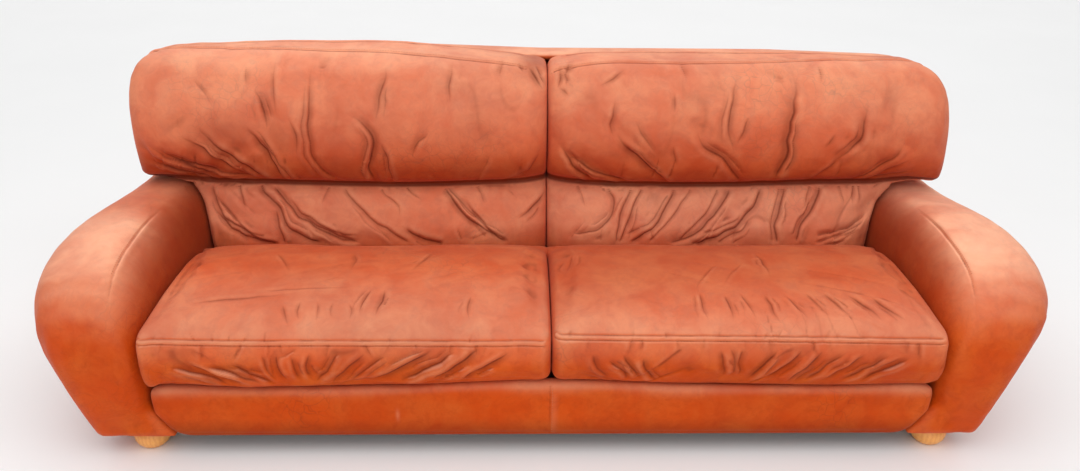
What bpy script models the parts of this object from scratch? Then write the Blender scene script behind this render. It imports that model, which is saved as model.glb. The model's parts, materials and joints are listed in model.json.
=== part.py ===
"""Worn leather sofa: padded arms, two seat and two back cushions on a bolted timber frame.

The sofa faces -Y and stands on Z = 0, with its origin below the middle of its overall box.
Lengths are in metres. A depth is measured backwards from the plane of the sofa's front.
"""

import math

import bmesh
import bpy
import numpy as np
from mathutils import Vector

# Overall size
HALF_WIDTH = 1.13
DEPTH = 0.89
GAP = 0.0003  # between pieces that touch

# Levels
UNDERSIDE = 0.052
CLOTH = 0.0012
RAIL_BOTTOM = UNDERSIDE + CLOTH + GAP
RAIL_TOP = 0.176
STRAP_THICKNESS = 0.002
DECK_TOP = RAIL_TOP + GAP + STRAP_THICKNESS + GAP + CLOTH
FOLD_LEVEL = 0.455  # where the upper roll meets the lumbar part

# Places across the sofa
DIVIDE = 0.014  # the two seats meet a little to the right of the middle
ARM_INNER = 0.8555
SEAT_OUTER = ARM_INNER - 0.0007
BOARD = 0.030
SIDE_RAIL_OUTER = 0.852

# Places along the depth
SEAT_REAR = 0.4885
LUMBAR_FRONT = 0.4895
CUSHION_REAR = 0.700
BACK_WEB = CUSHION_REAR + GAP
BACK_RAIL = BACK_WEB + STRAP_THICKNESS + GAP
PANEL_FRONT = BACK_RAIL + BOARD + GAP
PANEL_REAR = 0.872
COVER_FRONT = PANEL_REAR + GAP

# Arms
ARM_AXIS = 0.975
ARM_AXIS_LEVEL = 0.250
ARM_DROP = 0.500
ARM_REAR_TAPER = 0.090
ARM_NOSE_LENGTH = 0.450
ARM_TAIL_LENGTH = 1.000
ARM_SECTIONS = {"inner": 2.8, "outer": 3.6}  # how square the section is on each side of its crest
ARM_NOSE = 3.4
ARM_OVERREACH = 1.18  # the body runs past the arm's rear and its foot, where it is cut flat
ARM_INNER_NOSE = 0.4  # how much less the inner side rounds towards the front
ARM_FALL = (0.250, 0.650)  # the depths between which the crest falls
# The arms have settled differently: how high the crest stands and how far it falls towards the back, how far
# out the arm reaches, where it is widest, and the share of its outer side that it loses at its foot
ARMS = {
    "left": {"rise": 0.222, "fall": 0.034, "out": 0.153, "widest": 0.300, "undercut": 0.64, "taper": 1.10},
    "right": {"rise": 0.220, "fall": 0.047, "out": 0.161, "widest": 0.355, "undercut": 0.88, "taper": 1.03},
}
TOE_FRONT = 0.032
TOE_ROUND = 0.014
TOE_OUTER = (0.930, 0.145)  # where an arm's toe ends inside its body, across and up
ARM_FRAME = (0.878, 0.918)
ARM_RAIL_DEPTHS = (0.072, 0.840)
ARM_POST_SETBACK = 0.040  # of the posts and the top rail, from both ends of the bottom rail
ARM_FRAME_TOP = 0.340

# Seat cushions
SEAT_FRONT = 0.014
SEAT_TUCK = 0.022
SEAT_CORE = 0.145
SEAT_SIDE_FALL = 0.005
SEAT_ROUND = (0.034, 0.030, 0.026)
GATHER_WIDTH = 0.022
GATHER_DEPTH = 0.006
SEAT_GATHERS = (
    ((0.18, 0.19), (0.34, 0.25)),
    ((0.36, 0.19), (0.52, 0.24)),
    ((0.56, 0.20), (0.70, 0.26)),
)

# Back cushions: folds run from one (x, z) to another
ROLL_WIDTH = 1.03
BACK_ROUND = (0.042, 0.038, 0.020)
CORNER_DIP = 0.010
FOLD_WIDTH = 0.022
FOLD_DEPTH = 0.011
ROLL_TOP = 0.762
ROLL_RISE = {"left": 0.026, "right": 0.000}  # the left roll has kept more of its filling
ROLL_END_FALL = 0.010
ROLL_SAG = {"left": 0.004, "right": 0.018}  # how far a roll's end hangs over its arm
BACK_ROWS = (
    *(0.20, 0.25, 0.30, 0.35, 0.40, 0.435, FOLD_LEVEL, 0.478, 0.505),
    *(0.540, 0.575, 0.610, 0.645, 0.680, 0.710, 0.735, 0.750),
)
BACK_FOLDS = {
    "left": (
        ((-0.89, 0.61), (-0.80, 0.50)),
        ((-0.84, 0.63), (-0.72, 0.50)),
        ((-0.68, 0.72), (-0.66, 0.50)),
        ((-0.53, 0.76), (-0.57, 0.56)),
        ((-0.44, 0.64), (-0.41, 0.49)),
        ((-0.21, 0.76), (-0.23, 0.64)),
        ((-0.67, 0.44), (-0.56, 0.31)),
        ((-0.82, 0.39), (-0.73, 0.31)),
        ((-0.23, 0.43), (-0.15, 0.33)),
    ),
    "right": (
        ((0.03, 0.57), (0.17, 0.49)),
        ((0.18, 0.62), (0.27, 0.49)),
        ((0.38, 0.63), (0.44, 0.54)),
        ((0.59, 0.76), (0.61, 0.50)),
        ((0.81, 0.60), (0.70, 0.49)),
        ((0.91, 0.60), (0.86, 0.49)),
        ((0.28, 0.44), (0.21, 0.32)),
        ((0.57, 0.44), (0.43, 0.31)),
        ((0.71, 0.44), (0.68, 0.31)),
        ((0.85, 0.42), (0.75, 0.31)),
    ),
}

# Covers
BASE_FRONT = 0.070
RAIL_COVER_FRONT = 0.030
COVER_HALF_WIDTH = 1.006
COVER_TOP = 0.760
COVER_SETTLE = (0.011, 0.014)  # how far the back has sunk right of its middle, and further at its right end
COVER_ROLL = (0.745, 0.105)  # where its top starts to roll back, and how far it drops
COVER_ARM_GAP = 0.0015

# Feet
FOOT_X = 0.898
FOOT_DEPTHS = {"front": 0.090, "rear": 0.800}
FOOT_RADIUS = 0.041

# Timber, bolts and webbing
POST = 0.040
SEAT_STRAPS = 10
BACK_STRAPS = 6
STRAP_WIDTH = 0.060
BOLT_RADIUS = 0.004
HEAD_RADIUS = 0.009
HEAD_THICKNESS = 0.005
ARM_BOLT_LEVEL = 0.080
ARM_BOLT_DEPTHS = {"front": 0.300, "rear": 0.620}
PANEL_TOP = 0.580
BACK_RAILS = (("back_top_rail", 0.950, 0.656), ("back_lower_rail", 0.852, 0.330))


def world_y(depth):
    """The Y of a depth behind the front plane."""
    return depth - DEPTH / 2


def lerp(low, high, share):
    return low + (high - low) * share


def smooth_step(low, high, value):
    share = min(max((value - low) / (high - low), 0.0), 1.0)
    return share * share * (3 - 2 * share)


def curve_through(places, values):
    """A smooth function through the given values at the given places, flat beyond both ends."""
    slopes = np.gradient(values, places)

    def at(place):
        place = min(max(place, places[0]), places[-1])
        span = min(int(np.searchsorted(places, place, side="right")) - 1, len(places) - 2)
        length = places[span + 1] - places[span]
        t = (place - places[span]) / length
        start = values[span] * (1 + 2 * t) * (1 - t) ** 2
        end = values[span + 1] * t * t * (3 - 2 * t)
        turn_out = slopes[span] * length * t * (1 - t) ** 2
        turn_in = slopes[span + 1] * length * t * t * (t - 1)
        return start + end + turn_out + turn_in

    return at


# The level of a seat's top along its depth
SEAT_CROWN = curve_through(
    (0.00, 0.04, 0.12, 0.25, 0.38, SEAT_REAR),
    (0.324, 0.340, 0.357, 0.363, 0.349, 0.308),
)
# The depth of a back cushion's front at each level
BACK_FRONT = curve_through(
    (0.18, 0.25, 0.31, 0.36, 0.41, 0.44, 0.455, 0.470, 0.50, 0.55, 0.60, 0.65, 0.70, 0.735, 0.762),
    (0.500, 0.493, 0.491, 0.505, 0.532, 0.556, 0.585, 0.552, 0.526, 0.510, 0.506, 0.513, 0.533, 0.558, 0.590),
)
# How far out each roll's end lies at each level
ROLL_END = {
    "left": curve_through(
        (0.455, 0.505, 0.557, 0.607, 0.658, 0.700, 0.730, 0.750, 0.762),
        (1.027, 1.018, 1.016, 1.015, 1.014, 1.009, 0.998, 0.980, 0.950),
    ),
    "right": curve_through(
        (0.455, 0.512, 0.552, 0.597, 0.626, 0.670, 0.697, 0.730, 0.748, 0.762),
        (1.042, 1.034, 1.029, 1.025, 1.022, 1.017, 1.011, 0.996, 0.976, 0.930),
    ),
}
# How far out the front rail cover's ends lie at each level: they lean in towards the feet
RAIL_ENDS = ((0.052, 0.086, 0.133, 0.160, 0.180), (0.820, 0.8476, 0.876, 0.872, 0.862))


def crease(place, start, end, width, depth):
    """How far a fold from start to end pushes the surface in at place: a groove between two low lips."""
    line = Vector(end) - Vector(start)
    offset = Vector(place) - Vector(start)
    along = offset.dot(line) / line.length_squared
    nearest = Vector(start) + line * min(max(along, 0.0), 1.0)
    reach = (Vector(place) - nearest).length / width
    return depth * (1 - 0.9 * reach * reach) * math.exp(-reach * reach)


# Building blocks


def material(name, colour, roughness, metallic=0.0):
    surface = bpy.data.materials.new(name)
    surface.use_nodes = True
    shader = surface.node_tree.nodes["Principled BSDF"]
    shader.inputs["Base Color"].default_value = (*colour, 1.0)
    shader.inputs["Roughness"].default_value = roughness
    shader.inputs["Metallic"].default_value = metallic
    return surface


def leather(name):
    return material(name + "_leather", (0.52, 0.14, 0.05), 0.45)


def timber(name):
    return material(name + "_timber", (0.55, 0.38, 0.22), 0.65)


def woven(name):
    return material(name + "_fabric", (0.05, 0.05, 0.05), 0.9)


def steel(name):
    return material(name + "_steel", (0.55, 0.55, 0.56), 0.35, 1.0)


def to_object(name, bm, surface, collection):
    bmesh.ops.recalc_face_normals(bm, faces=bm.faces)
    mesh = bpy.data.meshes.new(name)
    bm.to_mesh(mesh)
    bm.free()
    obj = bpy.data.objects.new(name, mesh)
    obj.data.materials.append(surface)
    collection.objects.link(obj)
    return obj


def box(name, x, depth, z, surface, collection):
    """A box between two places along each axis."""
    bm = bmesh.new()
    bmesh.ops.create_cube(bm, size=1.0)
    size = Vector((x[1] - x[0], depth[1] - depth[0], z[1] - z[0]))
    bmesh.ops.scale(bm, vec=size, verts=bm.verts)
    obj = to_object(name, bm, surface, collection)
    obj.location = ((x[0] + x[1]) / 2, world_y((depth[0] + depth[1]) / 2), (z[0] + z[1]) / 2)
    return obj


def gridded_cube(columns, layers, rows):
    """A cube from -1 to 1 whose faces are cut at the given stations along X, Y and Z."""
    bm = bmesh.new()
    bmesh.ops.create_cube(bm, size=2.0)
    for axis, stations in enumerate((columns, layers, rows)):
        normal = Vector((0.0, 0.0, 0.0))
        normal[axis] = 1.0
        for station in stations:
            geometry = bm.verts[:] + bm.edges[:] + bm.faces[:]
            bmesh.ops.bisect_plane(bm, geom=geometry, plane_co=normal * station, plane_no=normal)
    return bm


def even_stations(count):
    """The cuts that part a side of the cube into count equal spans."""
    return [2 * i / count - 1 for i in range(1, count)]


def rounded_stations(half, radius, count):
    """Cuts for one side: count spans on its flat, and two on the rounding at each end."""
    flat = 1 - radius / half
    bend = flat + (1 - flat) * math.tan(math.pi / 8)
    inner = [lerp(-flat, flat, i / count) for i in range(count + 1)]
    return [-bend, *inner, bend]


def rounded(point, half, radius):
    """Carry a point of the cube onto a cube whose edges are rounded, for a box of these half sizes."""
    core = []
    lean = []
    for place, size, bend in zip(point, half, radius):
        limit = 1 - bend / size
        held = min(max(place, -limit), limit)
        core.append(held)
        lean.append((place - held) / (1 - limit))
    reach = max(abs(part) for part in lean)
    length = math.sqrt(sum(part * part for part in lean)) or 1.0
    return [c + part * reach / length * bend / size for c, part, size, bend in zip(core, lean, half, radius)]


def soft_solid(name, bm, place, surface, collection):
    """Move each vertex of a gridded cube to its place, and keep the result as a smooth solid."""
    for vertex in bm.verts:
        x, depth, z = place(*vertex.co)
        vertex.co = (x, world_y(depth), z)
    obj = to_object(name, bm, surface, collection)
    obj.data.shade_smooth()
    obj.data.set_sharp_from_angle(angle=math.radians(50))
    return obj


def cylinder(name, start, end, radius, surface, collection):
    """A round bar between two points."""
    bm = bmesh.new()
    axis = Vector(end) - Vector(start)
    bmesh.ops.create_cone(
        bm, cap_ends=True, segments=12, radius1=radius, radius2=radius, depth=axis.length
    )
    obj = to_object(name, bm, surface, collection)
    obj.location = (Vector(start) + Vector(end)) / 2
    obj.rotation_mode = "QUATERNION"
    obj.rotation_quaternion = axis.to_track_quat("Z", "Y")
    return obj


def cut(obj, cutter, solver="EXACT"):
    modifier = obj.modifiers.new("cut_" + cutter.name, "BOOLEAN")
    modifier.operation = "DIFFERENCE"
    modifier.solver = solver
    modifier.object = cutter


def join(obj, addition, solver="EXACT"):
    modifier = obj.modifiers.new("join_" + addition.name, "BOOLEAN")
    modifier.operation = "UNION"
    modifier.solver = solver
    modifier.object = addition


def as_cutter(obj):
    obj.hide_render = True
    obj.display_type = "WIRE"
    return obj


# Arms


def arm_profile(u, v, w):
    """A point of the cube as (across, along, up) on the rounded body of an arm, each from -1 to 1."""
    ring = max(abs(u), abs(w))
    section = ARM_SECTIONS["outer" if u > 0 else "inner"]
    around = (abs(u) ** section + abs(w) ** section) ** (1 / section) or 1.0
    reach = max(ring, abs(v))
    along = (ring**ARM_NOSE + abs(v) ** ARM_NOSE) ** (1 / ARM_NOSE)
    share = ring * reach / along / around
    return u * share, v * reach / along, w * share


def arm_nose_share(depth):
    """The share of its full section that an arm has at a depth, as it rounds over to its front."""
    ahead = min(max(0.0, 1 - depth / ARM_NOSE_LENGTH), 0.9999)
    return (1 - ahead**ARM_NOSE) ** (1 / ARM_NOSE)


def arm_rise(side, depth):
    """How far an arm's crest stands above its axis at a depth."""
    return ARMS[side]["rise"] - ARMS[side]["fall"] * smooth_step(*ARM_FALL, depth)


def arm_point(side, u, v, w):
    """A point of an arm: how far out it lies, its depth and its level."""
    shape = ARMS[side]
    tail = (PANEL_REAR - ARM_NOSE_LENGTH) / ARM_TAIL_LENGTH * ARM_OVERREACH
    base = (ARM_AXIS_LEVEL - UNDERSIDE) / ARM_DROP * ARM_OVERREACH
    across, along, up = arm_profile(u, v * (tail if v > 0 else 1), w * (base if w < 0 else 1))
    depth = ARM_NOSE_LENGTH + along * (ARM_TAIL_LENGTH if along > 0 else ARM_NOSE_LENGTH)
    z = ARM_AXIS_LEVEL + up * (arm_rise(side, depth) if up > 0 else ARM_DROP)
    low = (shape["widest"] - z) / (shape["widest"] - UNDERSIDE)
    low = min(max(0.0, low), 1.1)
    if across > 0:
        behind = max(0.0, depth - 0.2) / (PANEL_REAR - 0.2)
        across *= (shape["out"] - ARM_REAR_TAPER * behind) * (1 - shape["undercut"] * low ** shape["taper"])
    else:
        across *= (ARM_AXIS - ARM_INNER) * arm_nose_share(depth) ** (ARM_INNER_NOSE - 1)
    if depth < 0.2:
        depth += 0.030 * low**2
    return ARM_AXIS + across, depth, z


def build_toe(side, sign, cutters):
    """The foot of an arm's front, padded out over the leaning end of the front rail cover."""
    levels, ends = RAIL_ENDS
    edge = [(x + 2 * GAP, z) for x, z in zip(ends[:3], levels[:3])]
    outer, top = TOE_OUTER
    outline = [*edge, (edge[-1][0] + 0.020, top), (outer, top), (outer, levels[0])]

    def drawn_in(distance):
        return [(min(x + distance, outer), z) for x, z in outline]

    rings = (
        (BASE_FRONT - GAP, outline),
        (TOE_FRONT + TOE_ROUND, outline),
        (TOE_FRONT + 0.3 * TOE_ROUND, drawn_in(0.3 * TOE_ROUND)),
        (TOE_FRONT, drawn_in(TOE_ROUND)),
    )
    bm = bmesh.new()
    made = [[bm.verts.new((sign * x, world_y(depth), z)) for x, z in ring] for depth, ring in rings]
    count = len(outline)
    for behind, ahead in zip(made, made[1:]):
        for i in range(count):
            k = (i + 1) % count
            bm.faces.new((behind[i], behind[k], ahead[k], ahead[i]))
    bm.faces.new(made[0])
    bm.faces.new(made[-1])
    bmesh.ops.recalc_face_normals(bm, faces=bm.faces)
    name = side + "_arm_toe"
    return to_object(name, bm, leather(name), cutters)


def build_arm(side, sign, parts, cutters):
    """One padded arm, open from below for the timber frame that carries it."""

    def place(u, v, w):
        x, depth, z = arm_point(side, u, v, w)
        return sign * x, depth, z

    name = side + "_arm"
    bm = gridded_cube(even_stations(8), even_stations(13), even_stations(9))
    arm = soft_solid(name, bm, place, leather(name), parts)
    join(arm, as_cutter(build_toe(side, sign, cutters)), "MANIFOLD")
    across = sorted((sign * 0.8, sign * 1.2))
    frame_x = sorted((sign * (ARM_FRAME[0] - GAP), sign * (ARM_FRAME[1] + GAP)))
    low_depth = (ARM_RAIL_DEPTHS[0] - GAP, ARM_RAIL_DEPTHS[1] + GAP)
    high_depth = (low_depth[0] + ARM_POST_SETBACK, low_depth[1] - ARM_POST_SETBACK)
    blocks = {
        "foot": (across, (-0.1, 1.1), (-0.2, UNDERSIDE)),
        "rear": (across, (PANEL_REAR, 1.1), (-0.3, 0.6)),
        "rail": (frame_x, low_depth, (0.0, UNDERSIDE + POST + GAP)),
        "frame": (frame_x, high_depth, (0.0, ARM_FRAME_TOP + GAP)),
    }
    for part, (x, depth, z) in blocks.items():
        block = box(f"{name}_{part}_cut", x, depth, z, leather(f"{name}_{part}_cut"), cutters)
        cut(arm, as_cutter(block), "MANIFOLD")
    return arm


def build_arm_frame(side, sign, parts):
    """The four timbers inside an arm."""
    name = side + "_arm_"
    x = sorted((sign * ARM_FRAME[0], sign * ARM_FRAME[1]))
    front, rear = ARM_RAIL_DEPTHS
    bottom = (UNDERSIDE, UNDERSIDE + POST)
    top = (ARM_FRAME_TOP - BOARD, ARM_FRAME_TOP)
    post = (bottom[1] + GAP, top[0] - GAP)
    post_front = front + ARM_POST_SETBACK
    post_rear = rear - ARM_POST_SETBACK
    pieces = {
        "bottom_rail": ((front, rear), bottom),
        "top_rail": ((post_front, post_rear), top),
        "front_post": ((post_front, post_front + POST), post),
        "rear_post": ((post_rear - POST, post_rear), post),
    }
    made = {}
    for part, (depth, z) in pieces.items():
        made[part] = box(name + part, x, depth, z, timber(name + part), parts)
    return made["bottom_rail"]


# Cushions


def seat_limit(depth):
    """The outer side of a seat cushion, which spreads where the arm rounds away at the front."""
    return SEAT_OUTER + (ARM_AXIS - ARM_INNER) * (1 - arm_nose_share(depth + 0.012) ** ARM_INNER_NOSE)


def build_seat_cushion(side, sign, inner, parts):
    """A seat cushion from the divide to the arm: crowned top, bulging front boxing, edges sewn round."""
    width = SEAT_OUTER - inner
    half = (width / 2, SEAT_REAR / 2, SEAT_CORE / 2)
    radius = SEAT_ROUND
    def place(u, v, w):
        a, b, c = rounded((u, v, w), half, radius)
        depth = lerp(SEAT_FRONT, SEAT_REAR, (b + 1) / 2)
        x = lerp(inner, seat_limit(depth), (a + 1) / 2)
        top = SEAT_CROWN(depth) - SEAT_SIDE_FALL * abs(a) ** 6
        z = lerp(DECK_TOP + GAP, top, (c + 1) / 2)
        ahead = max(0.0, -b) ** 8
        depth -= (SEAT_FRONT * (1 - c * c) - SEAT_TUCK * max(0.0, -c) ** 2) * ahead
        for start, end in SEAT_GATHERS:
            fold = crease((x, z), start, end, GATHER_WIDTH, GATHER_DEPTH)
            depth += fold * ahead * (1 - abs(c) ** 4)
        return sign * x, max(depth, 0.0), z

    bm = gridded_cube(
        rounded_stations(half[0], radius[0], 15),
        rounded_stations(half[1], radius[1], 6),
        rounded_stations(half[2], radius[2], 3),
    )
    name = side + "_seat_cushion"
    return soft_solid(name, bm, place, leather(name), parts)


def arm_inner_x(side, z):
    """Where the inner side of an arm's body lies at a level, beside the lumbar part."""
    share = max(0.0, (z - ARM_AXIS_LEVEL) / arm_rise(side, LUMBAR_FRONT))
    section = ARM_SECTIONS["inner"]
    return ARM_AXIS - (ARM_AXIS - ARM_INNER) * (1 - min(share, 1.0) ** section) ** (1 / section)


def back_cushion_limit(side, z):
    """The outer end of a back cushion: along the arm below, then over it, with a rounded top corner."""
    if z < ARM_AXIS_LEVEL + arm_rise(side, LUMBAR_FRONT) + 0.001:
        clearance = 0.0007 + 0.013 * max(0.0, (z - 0.33) / (FOLD_LEVEL - 0.33)) ** 2
        return arm_inner_x(side, z) - clearance
    return ROLL_END[side](z)


def build_back_cushion(side, sign, inner, rise, folds, parts):
    """A back cushion: a lumbar part and the fuller roll above it, sewn as one cover with a fold between."""
    half = (ROLL_WIDTH / 2, 0.100, 0.300)
    radius = BACK_ROUND
    fold_share = 2 * (FOLD_LEVEL - DECK_TOP) / (ROLL_TOP - DECK_TOP) - 1

    def level(c):
        if c < fold_share:
            return lerp(DECK_TOP + GAP, FOLD_LEVEL, (c + 1) / (fold_share + 1))
        return lerp(FOLD_LEVEL, ROLL_TOP, (c - fold_share) / (1 - fold_share))

    def row(z):
        if z < FOLD_LEVEL:
            return lerp(-1, fold_share, (z - DECK_TOP) / (FOLD_LEVEL - DECK_TOP))
        return lerp(fold_share, 1, (z - FOLD_LEVEL) / (ROLL_TOP - FOLD_LEVEL))

    def place(u, v, w):
        a, b, c = rounded((u, v, w), half, radius)
        z = level(c)
        x = lerp(inner, back_cushion_limit(side, z), (a + 1) / 2)
        front = BACK_FRONT(z) + 0.020 * abs(a) ** 6
        ahead = max(0.0, -b) ** 6
        depth = lerp(front, CUSHION_REAR, (b + 1) / 2)
        at = (sign * x, z)
        depth += ahead * sum(crease(at, start, end, FOLD_WIDTH, FOLD_DEPTH) for start, end in folds)
        depth = max(depth, LUMBAR_FRONT)
        z += 0.006 * max(0.0, c) ** 12 * (1 - a * a)
        lifted = rise * smooth_step(0.0, 0.45, x) - ROLL_END_FALL * smooth_step(0.6, 0.95, x)
        z += lifted * smooth_step(FOLD_LEVEL, ROLL_TOP, z)
        z -= CORNER_DIP * math.exp(-(((x - inner) / 0.10) ** 2)) * max(0.0, c) ** 2
        z -= ROLL_SAG[side] * smooth_step(0.94, 1.03, x) * (1 - smooth_step(FOLD_LEVEL, 0.60, z))
        return sign * x, min(depth, CUSHION_REAR), z

    rows = [row(z) for z in BACK_ROWS]
    bm = gridded_cube(
        rounded_stations(half[0], radius[0], 22),
        rounded_stations(half[1], radius[1], 1),
        rows,
    )
    name = side + "_back_cushion"
    return soft_solid(name, bm, place, leather(name), parts)


# Covers


def build_front_rail_cover(parts):
    """The padded strip below the seat cushions, rounded along its top and at its ends."""
    half = (SEAT_OUTER, (BASE_FRONT - RAIL_COVER_FRONT) / 2, (RAIL_TOP - UNDERSIDE) / 2)
    radius = (0.035, 0.016, 0.022)

    def place(u, v, w):
        a, b, c = rounded((u, v, w), half, radius)
        depth = lerp(RAIL_COVER_FRONT, BASE_FRONT - GAP, (b + 1) / 2)
        z = lerp(UNDERSIDE, RAIL_TOP + 0.0035, (c + 1) / 2)
        end = min(float(np.interp(z, *RAIL_ENDS)), seat_limit(depth)) - GAP
        return a * end, depth, z

    bm = gridded_cube(
        rounded_stations(half[0], radius[0], 12),
        rounded_stations(half[1], radius[1], 1),
        rounded_stations(half[2], radius[2], 2),
    )
    return soft_solid("front_rail_cover", bm, place, leather("front_rail_cover"), parts)


def rounded_hull(name, half_width, rear, top, collection):
    """A block open to later cuts at its front and foot, rounded along its top, its rear and its ends."""
    front = CUSHION_REAR - 0.12
    foot = -0.05
    half = (half_width, (rear - front) / 2, (top - foot) / 2)
    radius = (0.110, 0.025, 0.060)

    def place(u, v, w):
        a, b, c = rounded((u, v, w), half, radius)
        depth = lerp(front, rear, (b + 1) / 2)
        start, drop = COVER_ROLL
        behind = min(max(0.0, (depth - start) / (rear - start)), 0.98)
        sunk = COVER_SETTLE[0] * smooth_step(-0.35, 0.05, a) + COVER_SETTLE[1] * smooth_step(0.5, 1.0, a)
        crest = top - sunk - drop * (1 - math.sqrt(1 - behind**2))
        return a * half_width, depth, lerp(foot, crest, (c + 1) / 2)

    bm = gridded_cube(
        rounded_stations(half[0], radius[0], 6),
        rounded_stations(half[1], radius[1], 9),
        rounded_stations(half[2], radius[2], 1),
    )
    return soft_solid(name, bm, place, leather(name), collection)


def build_back_cover(parts, cutters):
    """The padded outside back: a wall behind the frame that rolls over its top and closes its ends."""
    cover = rounded_hull("back_cover", COVER_HALF_WIDTH, DEPTH, COVER_TOP, parts)
    wall = DEPTH - COVER_FRONT
    inside = (COVER_HALF_WIDTH - wall, COVER_FRONT, COVER_TOP - wall)
    hollow = rounded_hull("back_cover_hollow", *inside, cutters)
    wide = (-HALF_WIDTH, HALF_WIDTH)
    blocks = {
        "front": (wide, (0.4, BACK_WEB), (-0.1, 0.9)),
        "foot": (wide, (0.4, 1.0), (-0.1, UNDERSIDE)),
    }
    for side, across in (("left", (-HALF_WIDTH, -0.84)), ("right", (0.84, HALF_WIDTH))):
        crest = ARM_AXIS_LEVEL + arm_rise(side, PANEL_REAR) + COVER_ARM_GAP
        blocks[side + "_arm"] = (across, (0.4, PANEL_REAR + 0.0002), (-0.1, crest))
    cut(cover, as_cutter(hollow))
    for name, (x, depth, z) in blocks.items():
        block = box("back_cover_" + name, x, depth, z, leather("back_cover_" + name), cutters)
        cut(cover, as_cutter(block))
    return cover


# Frame


def build_base(parts):
    """The seat frame: long rails front and rear, side rails and a stretcher, with a dust cover below."""
    side_inner = SIDE_RAIL_OUTER - BOARD
    z = (RAIL_BOTTOM, RAIL_TOP)
    between = (BASE_FRONT + BOARD + GAP, PANEL_REAR)
    seat_rear = (CUSHION_REAR - POST, CUSHION_REAR)
    inner_x = (-side_inner + GAP, side_inner - GAP)
    pieces = {
        "base_front_rail": ((-SIDE_RAIL_OUTER, SIDE_RAIL_OUTER), (BASE_FRONT, BASE_FRONT + BOARD)),
        "base_left_rail": ((-SIDE_RAIL_OUTER, -side_inner), between),
        "base_right_rail": ((side_inner, SIDE_RAIL_OUTER), between),
        "base_seat_rear_rail": (inner_x, seat_rear),
        "base_rear_rail": (inner_x, (PANEL_REAR - BOARD, PANEL_REAR)),
        "base_centre_stretcher": ((-BOARD / 2, BOARD / 2), (between[0], seat_rear[0] - GAP)),
    }
    made = {name: box(name, x, depth, z, timber(name), parts) for name, (x, depth) in pieces.items()}
    cover = (UNDERSIDE, UNDERSIDE + CLOTH)
    whole = (-SIDE_RAIL_OUTER, SIDE_RAIL_OUTER)
    box("dust_cover", whole, (BASE_FRONT, PANEL_REAR), cover, woven("dust_cover"), parts)
    return made


def build_seat_webbing(parts):
    """Straps from the front rail to the rear one, with the deck cloth on top."""
    low = RAIL_TOP + GAP
    pitch = 2 * SIDE_RAIL_OUTER / SEAT_STRAPS
    for i in range(SEAT_STRAPS):
        middle = (i + 0.5) * pitch - SIDE_RAIL_OUTER
        name = f"seat_strap_{i + 1}"
        x = (middle - STRAP_WIDTH / 2, middle + STRAP_WIDTH / 2)
        box(name, x, (BASE_FRONT, CUSHION_REAR), (low, low + STRAP_THICKNESS), woven(name), parts)
    whole = (-SIDE_RAIL_OUTER, SIDE_RAIL_OUTER)
    deck = (DECK_TOP - CLOTH, DECK_TOP)
    box("seat_deck_cloth", whole, (BASE_FRONT, CUSHION_REAR), deck, woven("seat_deck_cloth"), parts)


def build_back_frame(parts):
    """Three upright panels, two rails across their front edges, and webbing between the rails."""
    x_places = {"left": -SIDE_RAIL_OUTER, "centre": -BOARD / 2, "right": SIDE_RAIL_OUTER - BOARD}
    panel_z = (RAIL_TOP + GAP, PANEL_TOP)
    for side, x in x_places.items():
        name = f"back_{side}_panel"
        box(name, (x, x + BOARD), (PANEL_FRONT, PANEL_REAR), panel_z, timber(name), parts)
    rail_depth = (BACK_RAIL, BACK_RAIL + BOARD)
    for name, reach, middle in BACK_RAILS:
        z = (middle - BOARD, middle + BOARD)
        box(name, (-reach, reach), rail_depth, z, timber(name), parts)
    pitch = 2 * SIDE_RAIL_OUTER / BACK_STRAPS
    strap_z = (BACK_RAILS[1][2] - BOARD, BACK_RAILS[0][2] + BOARD)
    for i in range(BACK_STRAPS):
        middle = (i + 0.5) * pitch - SIDE_RAIL_OUTER
        name = f"back_strap_{i + 1}"
        x = (middle - STRAP_WIDTH / 2, middle + STRAP_WIDTH / 2)
        box(name, x, (BACK_WEB, BACK_WEB + STRAP_THICKNESS), strap_z, woven(name), parts)


# Turned pieces and bolts


def turned(name, profile, steps, surface, collection):
    """A round piece from a profile of (radius, height) that runs from its top to its bottom."""
    mesh = bpy.data.meshes.new(name)
    bm = bmesh.new()
    ring = [bm.verts.new((radius, 0.0, height)) for radius, height in profile]
    for upper, lower in zip(ring, ring[1:]):
        bm.edges.new((upper, lower))
    bm.to_mesh(mesh)
    bm.free()
    obj = bpy.data.objects.new(name, mesh)
    obj.data.materials.append(surface)
    collection.objects.link(obj)
    screw = obj.modifiers.new("turn", "SCREW")
    screw.steps = steps
    screw.render_steps = steps
    screw.use_smooth_shade = True
    screw.use_merge_vertices = True
    screw.merge_threshold = 0.0001
    return obj


def bolt_profile(length):
    """A bolt that stands on its tip, its head on top."""
    neck = length - HEAD_THICKNESS
    return [
        (0.0, length),
        (HEAD_RADIUS, length),
        (HEAD_RADIUS, neck),
        (BOLT_RADIUS, neck),
        (BOLT_RADIUS, 0.0),
        (0.0, 0.0),
    ]


def foot_profile(count):
    """A bun foot: an ellipse cut flat at its top and its bottom."""
    top = UNDERSIDE - GAP
    middle = 0.53 * UNDERSIDE
    reach = 0.67 * UNDERSIDE
    heights = [lerp(top, 0.0, (1 - math.cos(math.pi * i / count)) / 2) for i in range(count + 1)]
    side = [(FOOT_RADIUS * math.sqrt(1 - ((z - middle) / reach) ** 2), z) for z in heights]
    return [(0.0, top), *side, (0.0, 0.0)]


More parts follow.
